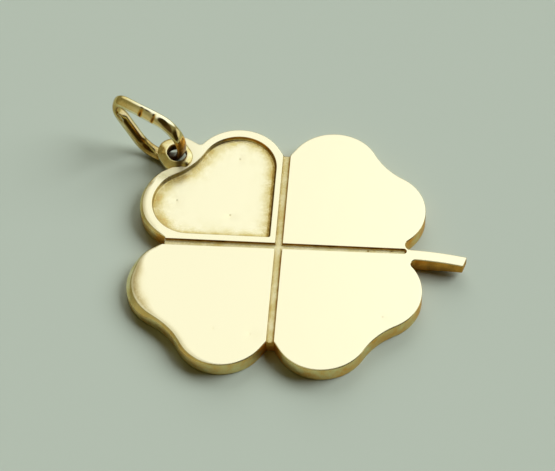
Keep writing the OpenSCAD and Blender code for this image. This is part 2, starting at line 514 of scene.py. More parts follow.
    def web_path(self) -> Array:
        """Makes the web's outer edge.

        Returns:
            The points, from the far lobe to the web's end hidden under the eye.
        """
        lobe = np.array([-self.lobe_side, self.lobe_out])
        root = polar(lobe, self.lobe_r, self.web_lobe_turn)
        outer, inner = self.eye_end(1), self.eye_end(-1)
        crest = polar(outer, self.eye_r + self.web_crest, self.web_eye_turn)
        seat_r = self.eye_r - self.web_seat
        seat = bearing(outer, touch(crest, outer, seat_r, 1))
        reach = seat_r / math.cos(math.radians(seat - self.web_hide_turn))
        on_eye = polar(outer, reach, self.web_hide_turn)
        flank = self.eye_long_turn - 90
        ring = arc(outer, self.web_hide_r, self.web_hide_turn, flank, self.hidden_step)
        side = polar(inner, self.web_hide_r, flank)
        start = self.web_lobe_turn - self.web_lead_turn
        path = [
            arc(lobe, self.lobe_r, start, self.web_lobe_turn, self.step),
            straight(root, crest, self.web_step),
            straight(crest, on_eye, self.web_step),
            ring,
            straight(side, polar(ORIGIN, self.hollow_out, FAR_LEFT_TURN), self.hidden_step),
        ]
        path = soften(clean(np.vstack(path)), root, self.web_root_round)
        return clean(soften(path, crest, self.web_crest_round))

    def outlines(self) -> tuple[Array, Array]:
        """Makes the plate's closed outline, turning left.

        Returns:
            The points, and the value of the Part that each belongs to.
        """
        side, hollow, end = self.full_leaf()
        wide = self.full_leaf(self.wide_leaf_extra)
        stem, web = self.stem_path(), self.web_path()
        left, both, low = [-1, 1], [-1, -1], [1, -1]
        near_side = side * low
        cut_far = np.linalg.norm(side - stem[-1], axis=1).argmin() + 1
        cut_near = np.linalg.norm(near_side - stem[0], axis=1).argmin() + 1
        lobe = np.array([-self.lobe_side, self.lobe_out])
        clear = self.web_lobe_turn - self.web_lead_turn - self.web_gap_turn
        lobe_left = [p for p in end[::-1] * left if bearing(lobe, p) % 360 < clear]
        hollow_left = [p for p in hollow[::-1] * left if p.sum() < web[-1].sum() - self.web_gap]
        runs = [
            (side[cut_far:], Part.PLAIN),
            (hollow, Part.PLAIN),
            (end, Part.PLAIN),
            (lobe_left, Part.PLAIN),
            (web, Part.WEB),
            (hollow_left, Part.FAR_LEFT_SIDE),
            (side[::-1] * left, Part.FAR_LEFT_SIDE),
            (wide[0] * both, Part.NEAR_LEFT_SIDE),
            (wide[1] * both, Part.NEAR_LEFT_END),
            (wide[2] * both, Part.NEAR_LEFT_END),
            (end[::-1] * low, Part.PLAIN),
            (hollow[::-1] * low, Part.PLAIN),
            (near_side[cut_near:][::-1], Part.PLAIN),
            (stem, Part.PLAIN),
        ]
        points = np.vstack([run for run, _ in runs])
        parts = np.concatenate([np.full(len(run), part.value) for run, part in runs])
        gap = np.linalg.norm(points - np.roll(points, 1, axis=0), axis=1)
        return points[gap > self.least_step], parts[gap > self.least_step]

    def sunk_path(self) -> Array:
        """Makes the closed outline of the sunk heart field in the far left leaf.

        Returns:
            The points, turning left.
        """
        edge = self.groove_w / 2 + self.sunk_rim_inner
        join = self.lobe_side + self.sunk_join
        side, end = self.leaf_reach - self.sunk_rim_side, self.leaf_reach - self.sunk_rim_end
        corner = (self.lobe_side, edge)
        runs = self.leaf_path(side, end, self.lobe_side - edge, self.sunk_valley_r, corner)
        tip = np.array([edge, edge])
        low = straight([join, edge], tip, self.step)
        high = straight(tip, [edge, join], self.step)
        heel = soften(clean(np.vstack([low, high])), tip, self.sunk_tip_r)
        body = np.vstack(runs)
        body = body[(body[:, 0] > join) | (body[:, 1] > self.lobe_side)]
        body = body[(body[:, 1] > join) | (body[:, 0] > self.lobe_side)]
        return (clean(np.vstack([body, heel[::-1]])) * [-1, 1])[::-1]


@dataclass(frozen=True)
class CutProfile:
    """Section across the wall of a cut: a softened rim, a steep wall and a round foot."""

    rim: float
    draft: float
    foot: float
    foot_h: float
    depth: float
    steepest: float = 0.99995

    def drop(self, s: Array) -> tuple[Array, Array]:
        """Works out the section.

        Args:
            s: distances into the cut, negative on the face outside it.

        Returns:
            The depth below the face, and the slope of that depth along s.
        """
        t = np.clip((s + self.rim) / self.rim, 0, self.steepest)
        root = np.sqrt(1 - t * t)
        drop = np.where(s > -self.rim, self.rim * (1 - root), 0.0)
        slope = np.where(s > -self.rim, t / root, 0.0)
        wall_h = self.depth - self.foot_h - self.rim
        drop = np.where(s > 0, self.rim + wall_h * np.clip(s / self.draft, 0, 1), drop)
        slope = np.where(s > 0, wall_h / self.draft, slope)
        t = np.clip((self.draft + self.foot - s) / self.foot, 0, self.steepest)
        root = np.sqrt(1 - t * t)
        drop = np.where(s > self.draft, self.depth - self.foot_h * (1 - root), drop)
        slope = np.where(s > self.draft, self.foot_h / self.foot * t / root, slope)
        return drop, slope

    def levels(self, steps: int = 3) -> list[float]:
        """Finds where the section bends.

        Args:
            steps: number of steps over the rim.

        Returns:
            The distances into the cut.
        """
        turns = np.radians(np.linspace(0, 90, steps + 1))
        rim = [-self.rim + self.rim * math.sin(t) for t in turns]
        turns = np.radians(np.linspace(90, 0, steps + 2))
        return rim + [self.draft + self.foot * (1 - math.sin(t)) for t in turns]


@dataclass(frozen=True)
class RolledEdge:
    """Section of the worn edge: shares of its width, flat face first, and tilts in degrees."""

    tilts: Knots = ((0.0, 0.0), (0.08, 10.0), (0.64, 19.0), (0.7, 30.0), (0.76, 44.0), (1.0, 50.0))
    samples: int = 201

    def drop(self, share: Array) -> tuple[Array, Array]:
        """Works out the section.

        Args:
            share: shares of the edge's width.

        Returns:
            The depth below the face, as a share of the edge's width, and its slope.
        """
        fine = np.linspace(0, 1, self.samples)
        slope = np.tan(np.radians(np.interp(fine, *np.array(self.tilts).T)))
        depth = np.r_[0, np.cumsum((slope[1:] + slope[:-1]) / 2)] * (fine[1] - fine[0])
        share = np.clip(share, 0, 1)
        return np.interp(share, fine, depth), np.interp(share, fine, slope)


@dataclass(frozen=True)
class Pit:
    """Small pit in the plate's face: place, radius and depth in millimetres, and its stain."""

    x: float
    y: float
    r: float
    depth: float
    stain: float

    def press(self, p: Array) -> tuple[Array, Array]:
        """Works out what the pit does to the face.

        Args:
            p: points of the plan.

        Returns:
            The share of its depth at each point, and the slope that it adds.
        """
        off = np.hypot(p[:, 0] - self.x, p[:, 1] - self.y)
        shape = np.exp(-((off / self.r) ** 2))
        pull = self.depth * shape * 2 * off / self.r**2
        away = np.c_[self.x - p[:, 0], self.y - p[:, 1]] / np.maximum(off, TINY)[:, None]
        return shape, pull[:, None] * away


@dataclass(frozen=True)
class SoilBand:
    """Film of dirt along one side of a cut: where that side faces, its strength and reach."""

    facing: Span
    strength: float
    reach: float


@dataclass
class MeshData:
    """Mesh in millimetres, with a normal at each point and a row of LAYERS for its metal."""

    points: Array
    normals: Array
    state: Array
    faces: list[Face] = field(default_factory=list)

    def add(self, points: Array, normals: Array, state: Array) -> list[int]:
        """Adds points.

        Args:
            points: the points.
            normals: their normals.
            state: the state of their metal.

        Returns:
            Their numbers in the mesh.
        """
        first = len(self.points)
        self.points = np.vstack([self.points, points])
        self.normals = np.vstack([self.normals, normals])
        self.state = np.vstack([self.state, state])
        return list(range(first, len(self.points)))

    def join(self, upper: list[int], lower: list[int]) -> list[int]:
        """Joins two rings of as many points by quads that face outward.

        Args:
            upper: numbers of the upper ring.
            lower: numbers of the lower ring.

        Returns:
            The lower ring.
        """
        for i in range(len(upper)):
            j = (i + 1) % len(upper)
            self.faces.append((upper[j], upper[i], lower[i], lower[j]))
        return lower

    def to_object(self, name: str, material: bpy.types.Material) -> bpy.types.Object:
        """Makes a smooth shaded object of the data.

        Args:
            name: name of the piece.
            material: its finish.

        Returns:
            The new object, in metres, linked to the scene.
        """
        mesh = bpy.data.meshes.new(name)
        mesh.from_pydata((self.points * MM).tolist(), [], self.faces)
        mesh.materials.append(material)
        mesh.polygons.foreach_set("use_smooth", np.ones(len(mesh.polygons), bool))
        for layer, values in zip(LAYERS, self.state.T):
            data = mesh.attributes.new(layer, "FLOAT", "POINT").data
            data.foreach_set("value", values.astype(np.float32))
        mesh.update()
        unit = self.normals / np.maximum(np.linalg.norm(self.normals, axis=1), TINY)[:, None]
        mesh.normals_split_custom_set_from_vertices(unit.tolist())
        piece = bpy.data.objects.new(name, mesh)
        bpy.context.scene.collection.objects.link(piece)
        return piece


@dataclass
class CloverPlate:
    """Plate with its leaves, grooves, sunk field, web and stem, as one closed mesh."""

    plan: CloverPlan
    plate_t: float = 1.25
    web_bottom: float = 0.8
    stem_tip_t: float = 0.8

    rolled: RolledEdge = RolledEdge()
    edge_roll: float = 0.1
    left_roll: float = 0.45
    wide_roll: float = 1.0
    low_roll: float = 0.45
    roll_facing: Span = (-0.25, 0.9)
    roll_away: Span = (0.3, 0.8)
    roll_away_cut: float = 0.8
    roll_blend: float = 0.7
    roll_notch: Span = (0.05, 0.35)
    roll_shares: tuple[float, ...] = (
        0.9, 0.8, 0.76, 0.73, 0.7, 0.67, 0.64, 0.5, 0.44, 0.38, 0.3, 0.22, 0.14, 0.08, 0.0,
        -0.15, -0.35,
    )
    near_ease: float = 0.35
    ease_facing: Span = (0.1, 0.8)
    ease_inward: Span = (0.24, 0.36)

    groove: CutProfile = CutProfile(0.03, 0.015, 0.07, 0.08, 0.21)
    groove_floor: tuple[float, ...] = (0.12, 0.17)
    groove_step: float = 0.2
    groove_end_step: float = 0.04
    groove_past: float = 0.12
    notch_past: float = 0.15
    long_shift: float = -0.066
    long_tilt: float = 0.005
    sunk_cut: CutProfile = CutProfile(0.035, 0.02, 0.16, 0.16, 0.3)
    sunk_floor: tuple[float, ...] = (0.24, 0.3, 0.36, 0.46, 0.62, 0.85, 1.15)
    pits: tuple[Pit, ...] = (
        Pit(6.19, 0.01, 0.07, 0.03, 0.95),
        Pit(7.78, 0.08, 0.05, 0.03, 0.9),
        Pit(-3.35, 7.6, 0.05, 0.02, 0.5),
        Pit(-7.48, 3.7, 0.05, 0.02, 0.45),
        Pit(-3.62, 2.6, 0.05, 0.02, 0.4),
        Pit(7.42, -5.56, 0.09, 0.006, 0.12),
        Pit(-3.9, -7.13, 0.05, 0.008, 0.2),
        Pit(-1.37, -7.46, 0.05, 0.01, 0.25),
    )
    pit_rings: tuple[float, ...] = (0.35, 0.7, 1.1, 1.6)
    pit_turn: float = 330.0
    pit_step: float = 0.6
    grid_half: float = 10.0
    grid_step: float = 0.8
    grid_edge_gap: float = 1.0
    grid_cut_gap: float = 0.3
    offset_kept: float = 0.985
    rim_clear: float = 1.5

    wall_shares: tuple[float, ...] = (0.08, 0.35, 0.7, 1.0)
    ledge_gap: float = 0.1
    wall_lean: float = 0.4
    wall_ease: float = 0.5
    lip_rise: float = 0.84
    foot_roll: float = 0.09
    foot_lean: float = 0.1
    low_shares: Span = (0.5, 1.0)

    # The rim gets a tint all round; the wide bevels, which face left, are tinted darker as painted
    # shade.
    roll_age_and_shade: float = 0.45
    roll_shade_span: Span = (0.5, 0.8)
    roll_matte: float = 0.12
    roll_dim: Span = (0.0, 0.5)
    side_age: float = 0.62
    side_matte: float = 0.3
    side_dull: float = 0.03
    # Painted shade on the outer walls in the notches and at the stem.
    recess_shade: float = 0.5
    recess_reach: float = 0.9
    stem_shade: float = 1.15
    stem_root: Span = (-0.6, 0.4)
    stem_side: float = 0.5
    # The outer walls grow darker towards the right.
    right_darkening: float = 0.12
    right_from: Span = (3.0, 8.0)
    groove_age: float = 0.36
    groove_matte: float = 0.33
    groove_dull: float = 0.3
    groove_edge: Span = (-0.01, 0.03)
    field_age: float = 0.4
    field_matte: float = 0.1
    field_edge: Span = (0.0, 0.1)
    field_dull: float = 0.3
    floor_from: float = 0.05
    floor_reach: float = 0.52
    floor_facing: Span = (0.2, 1.0)
    floor_shares: Rgb = (0.62, 0.5, 0.1)
    eye_matte: float = 0.32
    eye_reach: float = 2.2

    # Painted shade: the far walls of the cuts, and the right walls that face left, are darkened as
    # if aged.
    shade_toward: float = -127.0
    shade_facing: Span = (0.1, 0.75)
    shade_strength: float = 1.5
    shade_reach: float = 0.045
    shade_edge: Span = (-0.02, 0.0)
    shade_fade: Span = (0.35, 1.0)
    left_shade_facing: Span = (0.3, 0.9)
    left_shade: float = 0.85
    left_shade_reach: float = 0.09
    long_shade: float = 1.18

    # Painted shade: an olive-brown film on the wide bevels that face left.
    roll_shade: float = 0.85
    roll_shade_reach: float = 0.76
    roll_shade_from: Span = (0.34, 0.46)
    field_soil: tuple[SoilBand, ...] = (
        SoilBand((1, 0), 0.55, 0.52),
        SoilBand((-1, 0), 0.4, 0.66),
        SoilBand((0, 1), 0.85, 0.28),
        SoilBand((0, -1), 0.2, 0.5),
    )
    field_soil_edge: Span = (0.0, 0.04)
    # Painted shade: a band along the field's right side; the grooves' corner dirt is heavier on
    # their right sides, as painted shade.
    corner_shade: float = 0.95
    corner_reach: float = 0.27
    corner_fade: Span = (0.75, 1.2)
    groove_soil: float = 0.14
    groove_soil_edge: Span = (0.0, 0.03)
    groove_corner_dirt_and_shade: float = 0.5
    left_corner_share: float = 0.5
    groove_corner_reach: float = 0.13
    groove_corner_fade: Span = (0.75, 1.25)
    long_soil: float = 0.22
    long_soil_fade: Span = (-2.0, 5.0)
    pit_soil: float = 0.9

    outline: Array = field(init=False)
    parts: Array = field(init=False)
    sunk: Array = field(init=False)
    roll: Array = field(init=False)

    def __post_init__(self) -> None:
        """Draws the outlines of the plate and of its sunk field."""
        self.outline, self.parts = self.plan.outlines()
        self.sunk, self.roll = self.plan.sunk_path(), self._roll_widths()

    def build(self) -> MeshData:
        """Builds the closed mesh.

        Returns:
            The mesh: face, walls, foot and back.
        """
        points, edges = self._contours()
        face_xy, faces = self._triangulate(points, edges, self.outline)
        mesh = self.surface(face_xy)
        mesh.faces += faces
        self._close(mesh, self._rim_loop(faces))
        return mesh

    def _roll_widths(self) -> Array:
        """Works out how wide the edge is rolled.

        Returns:
            The width at each point of the outline.
        """
        out = outward(self.outline)
        away = self.roll_away_cut * smooth_step(out[:, 1], *self.roll_away)
        lean = smooth_step(-out[:, 0], *self.roll_facing) * (1 - away)
        extra = np.zeros(len(self.outline))
        for part, width in (
            (Part.FAR_LEFT_SIDE, self.left_roll),
            (Part.NEAR_LEFT_SIDE, self.wide_roll),
            (Part.NEAR_LEFT_END, self.low_roll),
        ):
            extra = np.where(self.parts == part.value, width * lean, extra)
        gap = np.linalg.norm(np.roll(self.outline, -1, axis=0) - self.outline, axis=1)
        place = np.r_[0, np.cumsum(gap)[:-1]]
        off = np.abs(place[:, None] - place[None])
        off = np.minimum(off, gap.sum() - off)
        weight = np.exp(-((off / self.roll_blend) ** 2)) * gap[None]
        width = (weight * (self.edge_roll + extra)[None]).sum(1) / weight.sum(1)
        least, growth = self.roll_notch
        return np.minimum(width, least + growth * gap_to(self.outline, self.plan.notches))

    def _contours(self) -> tuple[Array, list[tuple[int, int]]]:
        """Lays points and edges along every line where the face bends.

        Returns:
            The points, and the pairs of them that an edge joins.
        """
        points: list[Array] = []
        edges: list[tuple[int, int]] = []

        def add(path: Array, keep: Array | None = None, closed: bool = True) -> None:
            """Adds a path, with edges only where two neighbours are both kept.

            Args:
                path: points of the path.
                keep: which of them are kept; all, if None.
                closed: whether its last point joins its first.
            """
            keep = np.ones(len(path), bool) if keep is None else keep
            count = sum(len(block) for block in points)
            index = np.where(keep, count + np.cumsum(keep) - 1, -1)
            pairs = list(zip(index[:-1], index[1:]))
            if closed:
                pairs.append((index[-1], index[0]))
            edges.extend((int(a), int(b)) for a, b in pairs if a >= 0 and b >= 0)
            points.append(path[keep])

        add(self.outline)
        out = outward(self.outline)
        for share in self.roll_shares:
            depth = self.roll * (1 - share)
            path = self.outline - out * depth[:, None]
            near = nearest_on(path, self.outline)
            uncut = self._groove_s(path)[0] < -self.groove.rim * self.rim_clear
            add(path, (near.gap > self.offset_kept * depth) & near.left & uncut)
        for s in [*self.groove.levels(), *self.groove_floor]:
            for path in self._groove_lines(s):
                near = nearest_on(path, self.outline)
                add(path, near.left | (near.gap < self.groove_past), False)
        out = outward(self.sunk)
        for s in [*self.sunk_cut.levels(), *self.sunk_floor]:
            path = self.sunk - out * s
            near = nearest_on(path, self.sunk)
            wanted = near.left if s > 0 else ~near.left
            add(path, (near.gap > self.offset_kept * abs(s)) & (wanted | (abs(s) < TINY)))
        for pit in self.pits:
            for share in self.pit_rings:
                r = pit.r * share
                add(arc([pit.x, pit.y], r, 0, self.pit_turn, r * self.pit_step))
        line = np.arange(-self.grid_half, self.grid_half, self.grid_step)
        grid = np.stack(np.meshgrid(line, line), -1).reshape(-1, 2)
        near, sunk = nearest_on(grid, self.outline), nearest_on(grid, self.sunk)
        free = near.left & (near.gap > self.grid_edge_gap) & (sunk.gap > self.grid_cut_gap)
        points.append(grid[free & (np.abs(self._groove_s(grid)[0]) > self.grid_cut_gap)])
        return np.vstack(points), edges

    def _groove_lines(self, s: float) -> list[Array]:
        """Makes the four lines at one distance into the grooves, one round each leaf.

        Args:
            s: the distance.

        Returns:
            The lines, each from the long groove to the short one.
        """
        end_r, end_x = self.plan.groove_end_r, self.plan.groove_end_x
        reach = self.plan.notch_reach + self.notch_past
        side_x = self.plan.groove_w / 2 - s
        lines = []
        for sx in (1, -1):
            for sy in (1, -1):
                xs = np.arange(reach if sx < 0 else end_x, side_x, -self.groove_step)
                xs = np.r_[xs, side_x] * sx
                long = np.c_[xs, self._long_mid(xs) + sy * (self._half_w(xs) - s)]
                ys = np.arange(abs(long[-1, 1]), reach, self.groove_step)[1:]
                path = [long, np.c_[np.full(len(ys) + 1, sx * side_x), sy * np.r_[ys, reach]]]
                if sx > 0 and end_r - s > 0:
                    at = [end_x, self._long_mid(end_x)]
                    path.insert(0, arc(at, end_r - s, 0, sy * 90, self.groove_end_step)[:-1])
                lines.append(np.vstack(path))
        return lines

    def _long_mid(self, x: Array) -> Array:
        """Returns the y of the long groove's middle line at x; it is cut a little askew."""
        return self.long_shift + self.long_tilt * x

    def _half_w(self, x: Array) -> Array:
        """Returns half the long groove's width at x; it narrows towards its closed end."""
        reach, half = self.plan.leaf_reach, self.plan.groove_w / 2
        share = (x + reach) / (self.plan.groove_end_x + reach)
        return half + share * (self.plan.groove_end_r - half)

    def _groove_s(self, p: Array) -> tuple[Array, Array]:
        """Measures how far points lie inside the grooves.

        Args:
            p: points of the plan.

        Returns:
            The distance into the nearer groove, and the unit direction in which it grows.
        """
        end_r, end_x = self.plan.groove_end_r, self.plan.groove_end_x
        x, nil = p[:, 0], np.zeros(len(p))
        past = x > end_x
        aside = p[:, 1] - self._long_mid(np.minimum(x, end_x))
        tip = np.hypot(x - end_x, aside)
        long = np.where(past, end_r - tip, self._half_w(x) - np.abs(aside))
        cross = self.plan.groove_w / 2 - np.abs(x)
        safe = np.maximum(tip, TINY)
        to_end, to_line = np.c_[(end_x - x) / safe, -aside / safe], np.c_[nil, -np.sign(aside)]
        unit = np.where(past[:, None], to_end, to_line)
        unit = np.where((cross > long)[:, None], np.c_[-np.sign(x), nil], unit)
        return np.maximum(long, cross), unit

    @staticmethod
    def _triangulate(
        points: Array, edges: list[tuple[int, int]], loop: Array
    ) -> tuple[Array, list[Face]]:
        """Fills a loop with triangles that follow the edges.

        Args:
            points: points of the plan.
            edges: pairs of points that triangles must not cross.
            loop: closed outline; triangles outside it are left out.

        Returns:
            The points used and the triangles, turning left.
        """
        result = delaunay_2d_cdt([Vector(p) for p in points], edges, [], 0, MERGE_GAP, False)
        xy = np.array([tuple(v) for v in result[0]])
        tri = np.array([f for f in result[2] if len(f) == 3])
        tri = tri[inside(xy[tri].mean(1), loop)]
        ab, ac = xy[tri[:, 1]] - xy[tri[:, 0]], xy[tri[:, 2]] - xy[tri[:, 0]]
        flipped = ab[:, 0] * ac[:, 1] - ab[:, 1] * ac[:, 0] < 0
        tri[flipped] = tri[flipped][:, ::-1]
        used = np.unique(tri)
        new = np.full(len(xy), -1)
        new[used] = np.arange(len(used))
        return xy[used], [tuple(row) for row in new[tri].tolist()]

    @staticmethod
    def _rim_loop(faces: list[Face]) -> list[int]:
        """Finds the outer rim of some triangles.

        Args:
            faces: the triangles.

        Returns:
            The numbers of its points in order, turning left.
        """
        seen = dict.fromkeys((f[i], f[(i + 1) % 3]) for f in faces for i in range(3))
        after = {a: b for a, b in seen if (b, a) not in seen}
        start = next(iter(after))
        loop = [start]
        while after[loop[-1]] != start:
            loop.append(after[loop[-1]])
        return loop

    def surface(self, p: Array) -> MeshData:
        """Works out the face.

        Args:
            p: points of the plan.

        Returns:
            The points lifted to the face, with normals and metal, but no faces yet.
        """
        near = nearest_on(p, self.outline)
        here, ahead = self.roll[near.segment], np.roll(self.roll, -1)[near.segment]
        roll = here * (1 - near.share) + ahead * near.share
        inward = near.gap / roll
        edge_drop, edge_slope = self.rolled.drop(1 - inward)
        facing = smooth_step(near.away[:, 1], *self.ease_facing)
        facing = facing * smooth_step(inward, *self.ease_inward)
        edge_slope = edge_slope * (1 - self.near_ease * facing)
        groove_s, groove_unit = self._groove_s(p)
        groove_drop, groove_slope = self.groove.drop(groove_s)
        sunk = nearest_on(p, self.sunk)
        sunk_s = np.where(sunk.left, sunk.gap, -sunk.gap)
        sunk_unit = np.where(sunk.left[:, None], sunk.away, -sunk.away)
        sunk_drop, sunk_slope = self.sunk_cut.drop(sunk_s)
        drops = np.stack([edge_drop * roll, groove_drop, sunk_drop])
        grads = np.stack([
            -edge_slope[:, None] * near.away,
            groove_slope[:, None] * groove_unit,
            sunk_slope[:, None] * sunk_unit,
        ])
        best, rows = drops.argmax(0), np.arange(len(p))
        drop, grad = drops[best, rows], grads[best, rows]

        floor_age = self._floor_age(sunk_s, sunk_unit)
        in_groove = smooth_step(groove_s, *self.groove_edge)
        # Painted shade: the wide rolled edges face left and are tinted darker.
        rolled = smooth_step(1 - inward, *self.roll_shade_span) * (roll > 2 * self.edge_roll)
        eye_gap = np.linalg.norm(p - self.plan.eye_mid, axis=1)
        # The age mixes real tarnish with painted shade: the dark far and right walls of the cuts,
        # and the tinted left bevels.
        age = np.maximum.reduce([
            floor_age,
            self.groove_age * in_groove,
            self.long_shade * self._painted_wall_shade(groove_s, groove_unit),
            self._painted_wall_shade(sunk_s, sunk_unit),
            self.roll_age_and_shade * rolled,
        ])
        matte = np.maximum.reduce([
            self.field_matte * smooth_step(sunk_s, *self.field_edge),
            self.groove_matte * in_groove,
            self.roll_matte * smooth_step(1 - inward, *self.roll_dim),
            self.eye_matte * np.exp(-((eye_gap / self.eye_reach) ** 4)),
        ])
        dull = np.maximum(self.groove_dull * in_groove, self.field_dull * floor_age)
        # The soil is dirt in the field, grooves and pits, with painted shade on the left bevels and
        # along the right sides of the cuts.
        soil = self._roll_shade(inward, roll) + self._field_soil(sunk_s, sunk_unit)
        soil = soil + self._groove_soil(p, groove_s, groove_unit)
        for pit in self.pits:
            shape, slope = pit.press(p)
            drop, grad = drop + pit.depth * shape, grad + slope
            age = np.maximum(age, pit.stain * shape)
            soil = soil + self.pit_soil * pit.stain * shape
        state = np.c_[age, matte, dull, soil]
        return MeshData(np.c_[p, self.plate_t - drop], np.c_[grad, np.ones(len(p))], state)

    def _floor_age(self, s: Array, unit: Array) -> Array:
        """Works out the ageing of the sunk field's floor; it is strongest at the left.

        Args:
            s: distances into the field.
            unit: directions in which its nearest side faces.

        Returns:
            The age at each point.
        """
        fade = np.exp(-np.clip(s - self.floor_from, 0, None) / self.floor_reach) * (s > 0)
        left = smooth_step(unit[:, 0], *self.floor_facing)
        top = smooth_step(-unit[:, 1], *self.floor_facing)
        base, left_share, top_share = self.floor_shares
        return np.minimum(fade * (base + left_share * left + top_share * top), self.field_age)

    def _roll_shade(self, inward: Array, roll: Array) -> Array:
        """Works out the painted shade on the wide rolled edges, which face left: an olive-brown
        band across the bevel.

        Args:
            inward: distances from the outline, as shares of the roll's width.
            roll: widths of the roll.

        Returns:
            The painted shade at each point.
        """
        film = np.exp(-((inward / self.roll_shade_reach) ** 3))
        film = film * smooth_step(inward, *self.roll_shade_from)
        return self.roll_shade * film * np.clip((roll - self.edge_roll) / self.wide_roll, 0, 1) ** 2

    def _field_soil(self, s: Array, unit: Array) -> Array:
        """Works out the dirt on the sunk field's floor, and a painted shade band along its right
        side.

        Args:
            s: distances into the field.
            unit: directions in which its nearest side faces.

        Returns:
            The dirt and painted shade at each point.
        """
        depth = np.clip(s, 0, None)
        soil = np.zeros(len(s))
        for band in self.field_soil:
            share = np.clip(unit @ np.array(band.facing, float), 0, 1) ** 2
            soil += share * band.strength * np.exp(-((depth / band.reach) ** 2))
        # Painted shade: a band along the field's right side.
        corner = 1 - smooth_step(depth / self.corner_reach, *self.corner_fade)
        soil += self.corner_shade * corner * np.clip(-unit[:, 0], 0, 1) ** 2
        return soil * smooth_step(s, *self.field_soil_edge)

    def _groove_soil(self, p: Array, s: Array, unit: Array) -> Array:
        """Works out the dirt in the grooves; in the long one it fades towards the stem. In the
        short grooves it gathers in the corners and is heaviest on their right sides, as painted
        shade.

        Args:
            p: points of the plan.
            s: their distances into the grooves.
            unit: directions in which the nearest side faces.

        Returns:
            The dirt and painted shade at each point.
        """
        # Corner dirt, heavier on the right sides as painted shade.
        corner = 1 - smooth_step(s / self.groove_corner_reach, *self.groove_corner_fade)
        sided = np.where(unit[:, 0] < 0, 1.0, self.left_corner_share)
        short = self.groove_soil + self.groove_corner_dirt_and_shade * sided * corner
        long = self.long_soil * smooth_step(-p[:, 0], *self.long_soil_fade)
        soil = np.where(np.abs(unit[:, 0]) > np.abs(unit[:, 1]), short, long)
        return soil * smooth_step(s, *self.groove_soil_edge)

    def _painted_wall_shade(self, s: Array, unit: Array) -> Array:
        """Works out the painted shade on the walls of a cut: the far sides, which face the near
        side, and the right sides, which face left, are darkened.

        Args:
            s: distances into the cut.
            unit: directions in which its nearest side faces.

        Returns:
            The painted shade, given as an age, at each point.
        """
        facing = smooth_step(unit @ polar(ORIGIN, 1, self.shade_toward), *self.shade_facing)
        to_left = smooth_step(-unit[:, 0], *self.left_shade_facing)
        reach = self.shade_reach + self.left_shade_reach * to_left
        inner = smooth_step(s / reach, *self.shade_fade)
        age = self.shade_strength + (self.left_shade - self.shade_strength) * to_left
        return age * facing * smooth_step(s, *self.shade_edge) * (1 - inner)

    def _wall_state(self, p: Array) -> Array:
        """Works out the metal of the outer walls; they carry painted shade in the notches and at
        the stem, and they grow darker towards the right.

        Args:
            p: points of the plan.

        Returns:
            Its state at each point.
        """
        reach = self.plan.leaf_reach
        spots = [*self.plan.notches, np.array([reach - self.stem_side, -self.plan.stem_w])]
        # Painted shade: the walls darken in the notches and at the stem.
        recess = np.exp(-((gap_to(p, spots) / self.recess_reach) ** 2))
        start, end = self.stem_root
        stem = self.stem_shade * smooth_step(p[:, 0], reach + start, reach + end)
        # The walls grow darker towards the right.
        right = self.right_darkening * smooth_step(p[:, 0], *self.right_from)
        age = self.side_age + right + self.recess_shade * np.maximum(recess, stem)
        return np.c_[age, np.tile([self.side_matte, self.side_dull, 0.0], (len(p), 1))]

    def _close(self, mesh: MeshData, loop: list[int]) -> None:
        """Adds walls, foot and back to the face.

        Args:
            mesh: the face.
            loop: numbers of its rim, in order.
        """
        rim = mesh.points[loop, :2]
        mesh.normals[loop] = np.c_[outward(rim), np.full(len(loop), self.lip_rise)]
        mesh.state[loop, 0] = np.maximum(mesh.state[loop, 0], self.roll_age_and_shade)
        near, on_web = nearest_on(rim, self.outline), self.parts == Part.WEB.value
        web = on_web[near.segment] & on_web[(near.segment + 1) % len(self.outline)]
        upper = np.roll(loop, -int(np.argmax(web & ~np.roll(web, 1)))).tolist()
        count = int(web.sum())
        rim, top_z = mesh.points[upper, :2], mesh.points[upper, 2]

        def ring(xy: Array, z: Array, out: Array, up: float) -> list[int]:
            """Adds a ring of wall points that face out and up, and returns their numbers."""
            normals = np.c_[out, np.full(len(xy), up)]
            return mesh.add(np.c_[xy, z], normals, self._wall_state(xy))

        out = outward(rim)
        ledge = np.minimum(self.web_bottom, top_z - self.ledge_gap)
        for share in self.wall_shares:
            z, lean = top_z + share * (ledge - top_z), self.wall_lean * (1 - self.wall_ease * share)
            upper = mesh.join(upper, ring(rim, z, out, lean))
        hollow = self._hollow_under(rim[0], rim[count])
        flat = np.full(len(hollow), self.web_bottom)
        under = ring(hollow, flat, np.zeros(hollow.shape), -1.0)
        mesh.faces.append((upper[0], *under, *upper[1 : count + 1][::-1]))
        upper = [upper[0], *under, *upper[count:]]
        rim = np.vstack([rim[:1], hollow, rim[count:]])
        out = outward(rim)
        rise = np.clip((rim[:, 0] - self.plan.leaf_reach) / self.plan.stem_l, 0, 1)
        base = (self.plate_t - self.stem_tip_t) * rise
        ledge = np.r_[ledge[:1], flat, ledge[count:]]
        for share in self.low_shares:
            z = ledge + share * (base + self.foot_roll - ledge)
            upper = mesh.join(upper, ring(rim, z, out, self.foot_lean))
        for c, s in cos_sin(30, 60, 90):
            xy, z = rim - out * (self.foot_roll * (1 - c)), base + self.foot_roll * (1 - s)
            upper = mesh.join(upper, ring(xy, z, out * c, -s))
        mesh.faces += self._fill_back(xy, upper)

    def _hollow_under(self, start: Array, end: Array) -> Array:
        """Finds the leaf's own edge below the web.

        Args:
            start: where the web leaves the lobe.
            end: where it ends at the eye.

        Returns:
            The points between the two.
        """
        _, hollow, lobe = self.plan.full_leaf()
        path = np.vstack([lobe[::-1], hollow[::-1]]) * [-1, 1]
        first, last = (int(np.linalg.norm(path - spot, axis=1).argmin()) for spot in (start, end))
        return clean(path[first + 1 : last])

